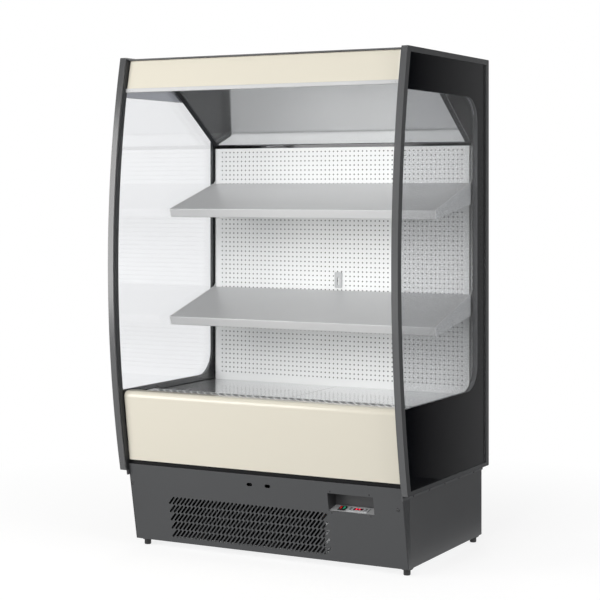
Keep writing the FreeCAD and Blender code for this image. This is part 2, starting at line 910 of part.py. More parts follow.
# ---------------------------------------------------------------- deck, grille and lower front
def deck_pan():
    """Right deck pan: a tray turned upside down, its flanges notched over the two seats it lies on."""
    low = deck_top_z - deck_flange
    inner = deck_side_gap / 2
    outer = body_half - deck_side_gap
    line = [(inner, low), (inner, deck_top_z), (outer, deck_top_z), (outer, low)]
    corners = bent_sheet(line[::-1], deck_sheet, 0.8)
    pan = along_y(corners, deck_front_y + seat_gap, deck_back_y)
    under = deck_top_z - deck_sheet
    front_seat = deck_front_y + fan_plate_flange / 2 + 2 * seat_gap
    back_seat = panel_y - panel_ledge - 2 * seat_gap
    pan = pan.cut(box(0, body_half, deck_front_y, front_seat, low - 1, under))
    return pan.cut(box(0, body_half, back_seat, panel_y, low - 1, under))


def oval_ring(x, y):
    """Six-sided oval hole, pointed to the front and the back."""
    wide = grille_hole_width / 2
    reach = grille_hole_length / 2
    shoulder = reach * 0.55
    return [(x, y - reach), (x + wide, y - shoulder), (x + wide, y + shoulder), (x, y + reach),
            (x - wide, y + shoulder), (x - wide, y - shoulder)]


def return_grille():
    """Air-return grille between the lower front and the deck: rows of ovals, each row set half a step on."""
    half = body_half - deck_side_gap
    front = grille_front_y
    back = deck_front_y - seat_gap
    top = grille_top_z
    count = int(2 * (half - grille_end_margin) / grille_hole_spacing)
    first_y = (front + back) / 2 - (grille_rows - 1) / 2 * grille_row_spacing
    holes = []
    for row in range(grille_rows):
        number = count - row % 2
        for i in range(number):
            x = (i - (number - 1) / 2) * grille_hole_spacing
            holes.append(oval_ring(x, first_y + row * grille_row_spacing))
    plate = along_z(rectangle(-half, half, front, back), top - grille_sheet, top, holes)
    front_leg = box(-half, half, front, front + grille_sheet, tub_top_z + seat_gap, top - grille_sheet)
    back_leg = box(-half, half, back - grille_sheet, back, deck_seat_z + seat_gap, top - grille_sheet)
    return plate.fuse([front_leg, back_leg]).removeSplitter()


def front_y(z):
    """Outer face of the lower front panel, which leans forward as it rises."""
    rise = z - front_panel_bottom_z
    return chord_y + front_panel_bottom_depth - rise * math.tan(math.radians(front_panel_lean))


def front_panel():
    low = front_panel_bottom_z
    top = front_panel_top_z
    wall = front_panel_sheet
    back = chord_y + front_panel_back_depth
    tub_face = tub_front_y - seat_gap
    step_z = tub_top_z + seat_gap
    outer = [(front_y(low), low), (front_y(top), top, front_panel_nose), (back, top),
             (back, step_z), (tub_face, step_z), (tub_face, low)]
    skew = wall / math.cos(math.radians(front_panel_lean))
    inner = [
        (front_y(low + wall) + skew, low + wall),
        (front_y(top - wall) + skew, top - wall, front_panel_nose - wall),
        (back + wall, top - wall),
        (back + wall, low + wall),
    ]
    body, core = hollow_skin(outer, inner, wall, front_end_radius, tub_front_y - front_end_radius)
    skin = body.cut(core)
    rear_lip = box(-skin_half + front_end_radius, skin_half - front_end_radius, back - wall, back,
                   step_z + 3 * wall, top - wall)
    return skin.fuse(rear_lip).removeSplitter()


def make_deck_and_front():
    pan = deck_pan()
    save("deck_pan_right", pan)
    save("deck_pan_left", mirrored(pan))
    save("return_grille", return_grille())
    save("front_panel", front_panel())


# ---------------------------------------------------------------- kick panel
def on_kick(shape):
    """Tip a flat panel drawn in (x, -v) at y = 0 into the slope of the kick panel."""
    shape = shape.copy()
    shape.rotate(V(0, 0, 0), V(1, 0, 0), kick_angle)
    shape.translate(V(0, kick_top_y, plinth_top_z))
    return shape


def slanted_slot(x, v):
    """Long slot with tapered ends, leaning to the right."""
    lean = math.radians(kick_slot_angle)
    along = (math.cos(lean), math.sin(lean))
    across = (-along[1], along[0])
    half = kick_slot_length / 2
    wide = kick_slot_width / 2
    shoulder = half - wide * 0.6
    tip = wide * 0.45
    ring = [(half, -tip), (half, tip), (shoulder, wide), (-shoulder, wide), (-half, tip), (-half, -tip),
            (-shoulder, -wide), (shoulder, -wide)]
    return [(x + a * along[0] + b * across[0], -v + a * along[1] + b * across[1]) for a, b in ring]


def oblong(x, v, radius):
    """Level hole with half-round ends, drawn a hair short of full rounding."""
    half_w = oblong_width / 2
    half_h = oblong_height / 2
    return rectangle(x - half_w, x + half_w, -v - half_h, -v + half_h, radius)


def kick_panel():
    half = body_half
    wall = kick_sheet
    holes = []
    for row in range(slot_rows):
        for column in range(slot_columns):
            x = kick_slot_x + column * kick_slot_spacing
            holes.append(slanted_slot(x, kick_slot_v + row * kick_row_spacing))
    for side in (-1, 1):
        holes.append(oblong(oblong_x + side * oblong_spacing / 2, oblong_v, oblong_height / 2 - 0.5))
    recess_half = recess_width / 2
    holes.append(rectangle(recess_x - recess_half, recess_x + recess_half,
                           -recess_bottom_v, -recess_top_v, 2.0))
    face = on_kick(along_y(rectangle(-half, half, -kick_length, 0), 0, wall, holes))
    low_y = chord_y + kick_bottom_depth
    top_flange = box(-half, half, kick_top_y, kick_top_y + kick_top_flange, plinth_top_z - wall, plinth_top_z)
    low_flange = box(-half, half, low_y, low_y + kick_bottom_flange, kick_bottom_z, kick_bottom_z + wall)
    side_y = chord_y + kick_side_depth
    cheek = along_x([(kick_top_y, plinth_top_z), (low_y, kick_bottom_z), (side_y, kick_bottom_z),
                     (side_y, plinth_top_z)], half - wall, half)
    return face.fuse([top_flange, low_flange, cheek, mirrored(cheek)]).removeSplitter()


# ---------------------------------------------------------------- control recess
def kick_point(v, depth):
    """(y, z) of a point v down the kick panel and depth behind its outer face."""
    lean = math.radians(kick_angle)
    y = kick_top_y + v * math.sin(lean) + depth * math.cos(lean)
    z = plinth_top_z - v * math.cos(lean) + depth * math.sin(lean)
    return y, z


floor_front = kick_point(recess_bottom_v, kick_sheet)
floor_lean = math.radians(recess_floor_slope)
floor_back = (
    floor_front[0] + recess_floor_length * math.cos(floor_lean),
    floor_front[1] + recess_floor_length * math.sin(floor_lean),
)


def on_floor(shape):
    """Put a shape drawn level at the floor's front edge onto the sloping floor of the recess."""
    shape = shape.copy()
    shape.rotate(V(0, 0, 0), V(1, 0, 0), recess_floor_slope)
    shape.translate(V(0, floor_front[0], floor_front[1]))
    return shape


floor_mid = recess_floor_length / 2
thermostat_low = floor_mid - thermostat_height / 2
rocker_low = floor_mid - rocker_bezel_length / 2


def floor_cutter(x, width, height):
    low = floor_mid - height / 2 - plate_hole_gap
    return on_floor(box(x - width / 2 - plate_hole_gap, x + width / 2 + plate_hole_gap,
                        low, low + height + 2 * plate_hole_gap, -recess_sheet * 3, recess_sheet * 3))


def control_box():
    """Sheet pocket behind the opening in the kick panel; its sloping floor carries the controls."""
    half = recess_width / 2
    low_x = recess_x - half
    high_x = recess_x + half
    wall = recess_sheet
    mouth_low = kick_point(recess_bottom_v, kick_sheet)
    mouth_high = kick_point(recess_top_v, kick_sheet)
    back_y = floor_back[0]
    room = [mouth_low, floor_back, (back_y, mouth_high[1]), mouth_high]
    floor_drop = wall / math.cos(floor_lean)
    lean = math.cos(math.radians(kick_angle))
    shell = [
        kick_point(recess_bottom_v + floor_drop / lean, kick_sheet),
        (back_y + wall, floor_back[1] - floor_drop + wall * math.tan(floor_lean)),
        (back_y + wall, mouth_high[1] + wall),
        kick_point(recess_top_v - wall / lean, kick_sheet),
    ]
    pocket = along_x(shell, low_x - wall, high_x + wall).cut(along_x(room, low_x, high_x))
    rim = recess_flange
    ring = on_kick(along_y(
        rectangle(low_x - rim, high_x + rim, -recess_bottom_v - rim, -recess_top_v + rim, 3.0),
        kick_sheet, kick_sheet + wall,
        [rectangle(low_x, high_x, -recess_bottom_v, -recess_top_v)]))
    body = pocket.fuse(ring).cut(along_x(room, low_x, high_x))
    body = body.cut(floor_cutter(thermostat_x, thermostat_body_width, thermostat_body_height))
    return body.cut(floor_cutter(rocker_x, rocker_body_width, rocker_body_length)).removeSplitter()


def key_centres():
    """(x, y) of the four keys in the flat frame of the floor, by name."""
    spots = {}
    for side, names in ((-1, ("key_up", "key_down")), (1, ("key_set", "key_light"))):
        for step, name in ((0.5, names[0]), (-0.5, names[1])):
            spots[name] = (thermostat_x + side * key_column_set, floor_mid + step * key_row_spacing)
    return spots


def thermostat_case():
    """Front bezel on the floor plate with the case below it, pocketed for the display and the keys."""
    half = thermostat_width / 2
    high = thermostat_low + thermostat_height
    bezel = along_z(rectangle(thermostat_x - half, thermostat_x + half, thermostat_low, high,
                              thermostat_corner), 0, thermostat_bezel)
    half_w = thermostat_body_width / 2
    half_h = thermostat_body_height / 2
    body = box(thermostat_x - half_w, thermostat_x + half_w, floor_mid - half_h, floor_mid + half_h,
               -thermostat_body_depth, 0)
    case = bezel.fuse(body).removeSplitter()
    screen_w = display_width / 2 + plate_hole_gap / 3
    screen_h = display_height / 2 + plate_hole_gap / 3
    case = case.cut(box(thermostat_x - screen_w, thermostat_x + screen_w, floor_mid - screen_h,
                        floor_mid + screen_h, thermostat_bezel - display_depth, thermostat_bezel + 1))
    for x, y in key_centres().values():
        reach_x = key_width / 2 + key_gap
        reach_y = key_height / 2 + key_gap
        case = case.cut(box(x - reach_x, x + reach_x, y - reach_y, y + reach_y,
                            thermostat_bezel - key_depth - key_stand - key_gap, thermostat_bezel + 1))
    return on_floor(case)


def thermostat_display():
    half_w = display_width / 2
    half_h = display_height / 2
    return on_floor(box(thermostat_x - half_w, thermostat_x + half_w, floor_mid - half_h, floor_mid + half_h,
                        thermostat_bezel - display_depth, thermostat_bezel + 0.2))


def thermostat_key(x, y):
    half_w = key_width / 2
    half_h = key_height / 2
    top = thermostat_bezel + key_stand
    return on_floor(along_z(rectangle(x - half_w, x + half_w, y - half_h, y + half_h, 1.2),
                            top - key_stand - key_depth, top))


rocker_offset = rocker_width / 2 + rocker_gap + rocker_partition / 2


def rocker_housing():
    """Bezel and case of the double rocker: two rooms with a partition, and a pin bore across both."""
    half_w = rocker_bezel_width / 2
    bezel = along_z(rectangle(rocker_x - half_w, rocker_x + half_w, rocker_low,
                              rocker_low + rocker_bezel_length, 1.5), 0, rocker_bezel)
    half_body = rocker_body_width / 2
    half_l = rocker_body_length / 2
    body = box(rocker_x - half_body, rocker_x + half_body, floor_mid - half_l, floor_mid + half_l,
               -rocker_body_depth, 0)
    housing = bezel.fuse(body).removeSplitter()
    room_w = rocker_width / 2 + rocker_gap
    room_l = rocker_length / 2 + rocker_end_gap
    for side in (-1, 1):
        x = rocker_x + side * rocker_offset
        housing = housing.cut(box(x - room_w, x + room_w, floor_mid - room_l, floor_mid + room_l,
                                  -rocker_body_depth + rocker_floor, rocker_bezel + 1))
    pin_z = rocker_bezel - rocker_pin_drop
    bore = rod(V(rocker_x - half_body - 1, floor_mid, pin_z), V(1, 0, 0), rocker_pin_radius + pin_clearance,
               2 * half_body + 2)
    return on_floor(housing.cut(bore))


def rocker(side):
    """Rocker with two shallow wings and a pin through its middle, at rest with its front end down."""
    x = rocker_x + side * rocker_offset
    half = rocker_length / 2
    pin_z = rocker_bezel - rocker_pin_drop
    crown_z = rocker_bezel + rocker_crown
    corners = [
        (floor_mid - half + 1.2, pin_z - 3.2),
        (floor_mid - half + 0.6, crown_z - 0.6, 0.8),
        (floor_mid, crown_z - 1.6),
        (floor_mid + half - 0.6, crown_z - 0.6, 0.8),
        (floor_mid + half - 1.2, pin_z - 3.2),
        (floor_mid, pin_z - 5.0),
    ]
    half_w = rocker_width / 2
    body = along_x(corners, x - half_w, x + half_w)
    outer_end = rocker_x + side * (rocker_body_width / 2 - rocker_gap)
    inner_end = rocker_x + side * rocker_partition / 4
    pin = rod(V(min(outer_end, inner_end), floor_mid, pin_z), V(1, 0, 0), rocker_pin_radius,
              abs(outer_end - inner_end))
    part = body.fuse(pin).removeSplitter()
    part.rotate(V(0, floor_mid, pin_z), V(1, 0, 0), rocker_tilt)
    return on_floor(part)


def floor_to_world(y, z):
    wy = floor_front[0] + y * math.cos(floor_lean) - z * math.sin(floor_lean)
    wz = floor_front[1] + y * math.sin(floor_lean) + z * math.cos(floor_lean)
    return round(wy, 3), round(wz, 3)


def make_kick_and_controls():
    save("kick_panel", kick_panel())
    save("control_box", control_box())
    save("thermostat_case", thermostat_case())
    save("thermostat_display", thermostat_display())
    for name, (x, y) in key_centres().items():
        save("thermostat_" + name, thermostat_key(x, y))
    save("rocker_housing", rocker_housing())
    save("power_rocker", rocker(-1))
    save("light_rocker", rocker(1))
    print("rocker pin", floor_to_world(floor_mid, rocker_bezel - rocker_pin_drop))


# ---------------------------------------------------------------- plinth and feet
foot_spots = [
    ("front_left", -(body_half - foot_side_set), chord_y + foot_front_depth),
    ("front_right", body_half - foot_side_set, chord_y + foot_front_depth),
    ("rear_left", -(body_half - foot_side_set), body_back_y - foot_back_set),
    ("rear_right", body_half - foot_side_set, body_back_y - foot_back_set),
]
pan_half = body_half - plinth_sheet - seat_gap
pan_front_y = chord_y + pan_front_depth
rear_grille_y = body_back_y - plinth_sheet - plinth_sheet
pan_back_y = rear_grille_y - seat_gap


def plinth_frame():
    """Welded plinth: floor pan with turned-up edges, corner posts, top rails and foot bushes."""
    wall = pan_sheet
    tray = box(-pan_half, pan_half, pan_front_y, pan_back_y, foot_height, foot_height + pan_edge)
    room = box(-pan_half + wall, pan_half - wall, pan_front_y + wall, pan_back_y - wall,
               foot_height + wall, foot_height + pan_edge + 1)
    frame = tray.cut(room)
    pieces = []
    top = plinth_top_z - kick_sheet
    for side in (-1, 1):
        for y, ahead in ((pan_front_y, 1), (pan_back_y, -1)):
            line = [(side * (pan_half - post_width), y), (side * pan_half, y),
                    (side * pan_half, y + ahead * post_width)]
            if side * ahead > 0:
                corners = bent_sheet(line, post_sheet, 0.0)
            else:
                corners = bent_sheet(line[::-1], post_sheet, 0.0)
            pieces.append(along_z(corners, foot_height + wall, top))
        rail_outer = side * pan_half
        rail_inner = side * (pan_half - post_sheet)
        rail = box(min(rail_inner, rail_outer), max(rail_inner, rail_outer),
                   pan_front_y, pan_back_y, top - rail_height, top)
        pieces.append(rail)
    for y_low, y_high in ((pan_front_y, pan_front_y + post_sheet), (pan_back_y - post_sheet, pan_back_y)):
        pieces.append(box(-pan_half, pan_half, y_low, y_high, top - rail_height, top))
    bearer = box(-pan_half, pan_half, pan_front_y, pan_front_y + post_width, top, plinth_top_z)
    pieces.append(bearer)
    pieces.append(box(-pan_half, pan_half, pan_back_y - post_width, pan_back_y, top, plinth_top_z))
    for _, x, y in foot_spots:
        pieces.append(rod(V(x, y, foot_height), V(0, 0, 1), bush_radius, bush_height))
    frame = frame.fuse(pieces)
    for _, x, y in foot_spots:
        bore = foot_stud_radius + pin_clearance
        frame = frame.cut(rod(V(x, y, foot_height - 1), V(0, 0, 1), bore, bush_height + 2))
    return frame.removeSplitter()


def levelling_foot(x, y):
    """Screw foot: tapered pad, wide cup close under the pan, and a stud up through its bush."""
    top = foot_height - seat_gap
    cup_low = top - foot_cup_height
    profile = [
        (0, 0), (foot_tip_radius, 0), (foot_pad_radius, 2.0), (foot_pad_radius, cup_low),
        (foot_cup_radius - 4.0, cup_low), (foot_cup_radius, top - 2.0), (foot_cup_radius, top),
        (foot_stud_radius, top), (foot_stud_radius, foot_stud_length), (0, foot_stud_length),
    ]
    return turned(profile, V(x, y, 0))


def plinth_side():
    """Side panel of the plinth with returns at the front seam and at the back."""
    wall = plinth_sheet
    front = chord_y + kick_side_depth + seat_gap
    back = body_back_y
    inner = body_half - plinth_return
    plan = [(inner, back), (body_half, back), (body_half, front), (inner, front)]
    return along_z(bent_sheet(plan[::-1], wall, 0.8), foot_height, plinth_top_z)


def rear_grille():
    half = pan_half - plinth_sheet
    holes = []
    for side in (-1, 1):
        for row in range(rear_slot_rows):
            z = rear_slot_low_z + row * rear_slot_spacing
            x = side * rear_slot_x
            reach = rear_slot_length / 2
            holes.append(rectangle(x - reach, x + reach, z, z + rear_slot_height))
    sheet = along_y(rectangle(-half, half, foot_height, plinth_top_z), rear_grille_y,
                    rear_grille_y + plinth_sheet, holes)
    gland = rod(V(box_x + box_width / 4, rear_grille_y - 1, gland_z()), V(0, 1, 0),
                gland_radius + gland_hole_gap, plinth_sheet + 2)
    return sheet.cut(gland)


def gland_z():
    return rear_slot_low_z - rear_slot_spacing


def make_plinth():
    save("plinth_frame", plinth_frame())
    side = plinth_side()
    save("plinth_side_right", side)
    save("plinth_side_left", mirrored(side))
    save("plinth_rear_grille", rear_grille())
    for name, x, y in foot_spots:
        save("foot_" + name, levelling_foot(x, y))


# ---------------------------------------------------------------- condensing unit
def finned_block(x_low, x_high, y_low, y_high, z_low, z_high, pitch, groove):
    """Coil block with upright fins that show as grooves in its front and back faces."""
    count = int((x_high - x_low) / pitch)
    step = (x_high - x_low) / count
    front = []
    back = []
    for i in range(count):
        x = x_low + i * step
        front += [(x, y_low), (x + step * 0.3, y_low), (x + step * 0.3, y_low + groove),
                  (x + step, y_low + groove)]
        back += [(x, y_high), (x + step * 0.3, y_high), (x + step * 0.3, y_high - groove),
                 (x + step, y_high - groove)]
    return along_z(front + back[::-1], z_low, z_high)


def return_bends(x, outward, rows, radius, pitch_z, z_low, y, bar):
    """Hairpin bends that join the tube ends on one side of a coil."""
    bends = []
    for row in range(rows):
        z = z_low + row * pitch_z
        points = [V(x, y, z), V(x + outward * (radius + bar), y, z),
                  V(x + outward * (radius + bar), y, z + 2 * radius), V(x, y, z + 2 * radius)]
        bends.append(pipe(points, bar, radius * 0.98))
    return bends


def condenser_coil():
    low_x = condenser_x - condenser_width / 2
    high_x = condenser_x + condenser_width / 2
    y_low = chord_y + condenser_front_depth
    y_high = y_low + condenser_depth
    z_high = condenser_low_z + condenser_height
    block = finned_block(low_x, high_x, y_low, y_high, condenser_low_z, z_high,
                         condenser_fin_spacing, condenser_fin_depth)
    sheet = coil_end_sheet
    ends = []
    for x in (low_x - sheet, high_x):
        ends.append(box(x, x + sheet, y_low - 6, y_high + 6, pan_top_z, z_high + 4))
    pitch = condenser_height / bend_rows
    y_mid = (y_low + y_high) / 2
    bends = return_bends(low_x - sheet, -1, bend_rows, bend_radius, pitch, condenser_low_z + 20, y_mid,
                         tube_radius)
    return block.fuse(ends + bends).removeSplitter()


def axial_fan(centre, hub_radius, hub_length, tip_radius, blades, chord, shaft_radius):
    """Fan that blows along +Y: hub with a blind bore at its back, and pitched blades."""
    front = centre - V(0, hub_length / 2, 0)
    hub = rod(front, V(0, 1, 0), hub_radius, hub_length)
    parts = []
    root = hub_radius * 0.7
    for i in range(blades):
        corners = [(-chord * 0.32, root), (chord * 0.32, root), (chord * 0.5, tip_radius * 0.86),
                   (chord * 0.3, tip_radius), (-chord * 0.36, tip_radius), (-chord * 0.5, tip_radius * 0.8)]
        blade = along_y(corners, -fan_blade_sheet / 2, fan_blade_sheet / 2)
        blade.rotate(V(0, 0, 0), V(0, 0, 1), fan_blade_angle)
        blade.rotate(V(0, 0, 0), V(0, 1, 0), 360.0 / blades * i)
        blade.translate(centre)
        parts.append(blade)
    fan = hub.fuse(parts)
    back = centre + V(0, hub_length / 2 - shaft_bore_depth, 0)
    bore = rod(back, V(0, 1, 0), shaft_radius + fan_shaft_clearance, shaft_bore_depth + 1)
    trim = rod(centre - V(0, hub_length * 2, 0), V(0, 1, 0), tip_radius, hub_length * 4)
    return fan.common(trim).cut(bore).removeSplitter()


def fan_motor(centre, hub_length, radius, length, shaft_radius, arm_reach):
    """Motor behind a fan, with its shaft in the hub and two flat arms across the fan's ring."""
    face_y = centre.y + hub_length / 2 + fan_motor_gap
    body = rod(V(centre.x, face_y, centre.z), V(0, 1, 0), radius, length)
    tip_y = centre.y + hub_length / 2 - shaft_bore_depth + 1
    shaft = rod(V(centre.x, tip_y, centre.z), V(0, 1, 0), shaft_radius, face_y - tip_y + 1)
    arm_y = face_y + length * 0.4
    arm = box(centre.x - arm_reach, centre.x + arm_reach, arm_y, arm_y + motor_arm_sheet,
              centre.z - motor_arm_width / 2, centre.z + motor_arm_width / 2)
    return body, shaft, arm, arm_y


fan_z = condenser_low_z + condenser_height / 2
shroud_front_y = chord_y + condenser_front_depth + condenser_depth + 6 + seat_gap
fan_centre = V(condenser_x, shroud_front_y + shroud_depth, fan_z)


def condenser_shroud():
    """Sheet shroud behind the coil with the fan's ring, and the motor on its arms."""
    half = condenser_width / 2
    z_high = condenser_low_z + condenser_height
    wall = shroud_sheet
    shell = box(condenser_x - half, condenser_x + half, shroud_front_y, shroud_front_y + shroud_depth,
                pan_top_z, z_high)
    room = box(condenser_x - half + wall, condenser_x + half - wall, shroud_front_y - 1,
               shroud_front_y + shroud_depth - wall, pan_top_z + wall, z_high - wall)
    ring_radius = fan_radius + fan_ring_gap
    hole = rod(V(condenser_x, shroud_front_y, fan_z), V(0, 1, 0), ring_radius, shroud_depth * 2)
    collar_y = shroud_front_y + shroud_depth - wall
    collar = rod(V(condenser_x, collar_y, fan_z), V(0, 1, 0), ring_radius + wall, 14.0)
    motor, shaft, arm, arm_y = fan_motor(fan_centre, fan_hub_length, fan_motor_radius, fan_motor_length,
                                         fan_shaft_radius, ring_radius + 12)
    legs = []
    for side in (-1, 1):
        x = condenser_x + side * (ring_radius + 12)
        legs.append(box(min(x, x - side * motor_arm_sheet), max(x, x - side * motor_arm_sheet),
                        shroud_front_y + shroud_depth - wall, arm_y + motor_arm_sheet,
                        fan_z - motor_arm_width / 2, fan_z + motor_arm_width / 2))
    body = shell.cut(room).fuse(collar).cut(hole)
    return body.fuse([motor, shaft, arm] + legs).removeSplitter()


def compressor():
    """Hermetic compressor: domed can with a weld flange, base plate and four rubber grommets."""
    base_z = pan_top_z + grommet_height
    low = base_z + compressor_base_sheet
    centre = V(compressor_x, chord_y + compressor_depth, 0)
    radius = compressor_radius
    high = low + compressor_height
    seam = low + compressor_height * 0.55
    profile = [
        (0, low), (radius * 0.7, low), (radius, low + compressor_dome * 0.8), (radius, seam - 4),
        (radius + 4, seam - 4), (radius + 4, seam + 4), (radius - 2, seam + 4),
        (radius - 2, high - compressor_dome, compressor_dome * 0.6), (radius * 0.62, high), (0, high),
    ]
    can = turned(profile, centre)
    half_w = compressor_base_width / 2
    half_d = compressor_base_depth / 2
    plate = box(centre.x - half_w, centre.x + half_w, centre.y - half_d, centre.y + half_d, base_z, low)
    parts = [plate]
    for sx in (-1, 1):
        for sy in (-1, 1):
            spot = V(centre.x + sx * (half_w - 16), centre.y + sy * (half_d - 16), pan_top_z)
            parts.append(rod(spot, V(0, 0, 1), grommet_radius, grommet_height))
    half_c = compressor_cover_half
    cover_z = low + compressor_cover_rise
    cover = box(centre.x + radius - 12, centre.x + radius + compressor_cover_stand, centre.y - half_c,
                centre.y + half_c, cover_z, cover_z + compressor_cover_height)
    parts.append(cover)
    return can.fuse(parts).removeSplitter()


def drip_tray():
    x_low = tray_x - tray_width / 2
    x_high = tray_x + tray_width / 2
    y_low = chord_y + tray_depth - tray_length / 2
    y_high = y_low + tray_length
    shell = box(x_low, x_high, y_low, y_high, pan_top_z, pan_top_z + tray_height)
    room = box(x_low + tray_wall, x_high - tray_wall, y_low + tray_wall, y_high - tray_wall,
               pan_top_z + tray_wall, pan_top_z + tray_height + 1)
    return shell.cut(room)


def electrical_box():
    """Terminal box on the floor pan with a cable gland through the rear grille."""
    half = box_width / 2
    back = rear_grille_y - gland_inside
    front = back - box_length
    body = along_z(rectangle(box_x - half, box_x + half, front, back, 4.0), pan_top_z, pan_top_z + box_height)
    z = gland_z()
    length = side_back_y - seat_gap - back
    gland = rod(V(box_x + box_width / 4, back, z), V(0, 1, 0), gland_radius, length)
    bore = rod(V(box_x + box_width / 4, back - 6, z), V(0, 1, 0), gland_radius * 0.5, length + 12)
    return body.fuse(gland).cut(bore).removeSplitter()


def make_condensing_unit():
    save("condenser_coil", condenser_coil())
    save("condenser_fan_shroud", condenser_shroud())
    save("condenser_fan", axial_fan(fan_centre, fan_hub_radius, fan_hub_length, fan_radius, fan_blades,
                                    fan_blade_chord, fan_shaft_radius))
    save("compressor", compressor())
    save("drip_tray", drip_tray())
    save("electrical_box", electrical_box())
    print("condenser fan axis", fan_centre)


# ---------------------------------------------------------------- evaporator
evap_fan_y = deck_front_y
evap_fan_z = (tub_floor_z + deck_seat_z) / 2


def evaporator_coil():
    y_low = chord_y + coil_front_depth
    y_high = y_low + coil_depth
    z_low = tub_floor_z + coil_rise
    z_high = z_low + coil_height
    block = finned_block(-coil_half_width, coil_half_width, y_low, y_high, z_low, z_high,
                         coil_fin_spacing, coil_fin_depth)
    ends = []
    for x in (-coil_half_width - coil_end_sheet, coil_half_width):
        ends.append(box(x, x + coil_end_sheet, y_low - coil_end_margin, y_high + coil_end_margin,
                        tub_floor_z, z_high + coil_end_margin))
    pitch = coil_height / bend_rows
    bends = return_bends(-coil_half_width - coil_end_sheet, -1, bend_rows, bend_radius, pitch, z_low + 8,
                         (y_low + y_high) / 2, tube_radius)
    return block.fuse(ends + bends).removeSplitter()


def evap_centre(side):
    return V(side * evap_fan_x, evap_fan_y, evap_fan_z)


def evaporator_fan_plate():
    """Upright sheet in the tub with the two fan rings, the motors on their arms and a top flange."""
    half = body_half - tub_wall - seat_gap
    wall = fan_plate_sheet
    flange_half = fan_plate_flange / 2
    y = deck_front_y
    ring = evap_fan_radius + fan_ring_gap
    plate = box(-half, half, y - wall / 2, y + wall / 2, tub_floor_z, deck_seat_z - wall)
    flange = box(-half, half, y - flange_half, y + flange_half, deck_seat_z - wall, deck_seat_z)
    body = plate.fuse(flange)
    parts = []
    for side in (-1, 1):
        centre = evap_centre(side)
        hole = rod(V(centre.x, y - 5, centre.z), V(0, 1, 0), ring, 10)
        body = body.cut(hole)
        motor, shaft, arm, arm_y = fan_motor(centre, evap_hub_length, evap_motor_radius, evap_motor_length,
                                             evap_shaft_radius, ring + 10)
        parts += [motor, shaft, arm]
        for end in (-1, 1):
            x = centre.x + end * (ring + 10)
            parts.append(box(min(x, x - end * motor_arm_sheet), max(x, x - end * motor_arm_sheet),
                             y, arm_y + motor_arm_sheet,
                             centre.z - motor_arm_width / 2, centre.z + motor_arm_width / 2))
    return body.fuse(parts).removeSplitter()


def make_evaporator():
    save("evaporator_coil", evaporator_coil())
    save("evaporator_fan_plate", evaporator_fan_plate())
    for side, name in ((-1, "evaporator_fan_left"), (1, "evaporator_fan_right")):
        fan = axial_fan(evap_centre(side), evap_hub_radius, evap_hub_length, evap_fan_radius, fan_blades - 1,
                        evap_blade_chord, evap_shaft_radius)
        save(name, fan)
        print(name, "axis", evap_centre(side))


# ---------------------------------------------------------------- pipework
def make_pipework():
    """Suction line through the tub's floor, discharge line to the condenser, and the drain."""
    z_can = pan_top_z + grommet_height + compressor_base_sheet + compressor_height * 0.35
    y_can = chord_y + compressor_depth
    coil_x = coil_half_width + coil_end_sheet + seat_gap
    coil_y = chord_y + coil_front_depth + coil_depth - suction_back_set
    coil_z = tub_floor_z + coil_rise + suction_rise
    x_up = pipe_hole_x - line_radius * 1.3
    entry = compressor_radius * 0.7
    run_y = y_can - entry
    can_x = compressor_x + math.sqrt(compressor_radius ** 2 - (entry - line_radius) ** 2) + seat_gap
    suction = pipe([V(coil_x, coil_y, coil_z), V(x_up, coil_y, coil_z), V(x_up, pipe_hole_y, coil_z),
                    V(x_up, pipe_hole_y, z_can), V(x_up, run_y, z_can), V(can_x, run_y, z_can)],
                   line_radius, line_bend * 0.9)
    discharge_x = compressor_x - compressor_radius * 0.45
    z_top = pan_top_z + grommet_height + compressor_base_sheet + compressor_height
    out_y = chord_y + condenser_front_depth + condenser_depth / 2
    end_x = condenser_x - condenser_width / 2 - coil_end_sheet - discharge_side_set
    discharge = pipe([V(discharge_x, y_can, z_top + seat_gap), V(discharge_x, y_can, z_top + discharge_rise),
                      V(end_x, y_can, z_top + discharge_rise), V(end_x, out_y, z_top + discharge_rise),
                      V(end_x, out_y, z_top - discharge_drop)], line_radius * 0.8, line_bend)
    tray_z = pan_top_z + tray_height * 0.6
    drain = rod(V(tray_x, drain_y, tray_z), V(0, 0, 1), drain_radius - drain_wall_gap, tub_floor_z - tray_z)
    bore = rod(V(tray_x, drain_y, tray_z - 1), V(0, 0, 1), drain_radius - 3 * drain_wall_gap,
               tub_floor_z - tray_z + 2)
    save("pipework", suction, discharge, drain.cut(bore))


make_sides()
make_body()
make_header_and_canopy()
make_back()
make_shelves()
make_deck_and_front()
make_kick_and_controls()
make_plinth()
make_condensing_unit()
make_evaporator()
make_pipework()
print("overall", overall_width, overall_depth, side_top_z, "chord y", chord_y)
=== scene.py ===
# %% [markdown]
# # Dressing an open multideck display fridge
# The solids of the cabinet come in as a fixed frame. They already have the right size, so nothing
# here moves or reshapes them. This lesson adds what solids leave out: the finish of each piece, the
# perforated back panel, the air grille, screws and the little display, and then light and a camera.
# The frame is loaded first, and its outline is kept, so that the dressed model can be checked
# against it.

# %% load the frame
import json
import math

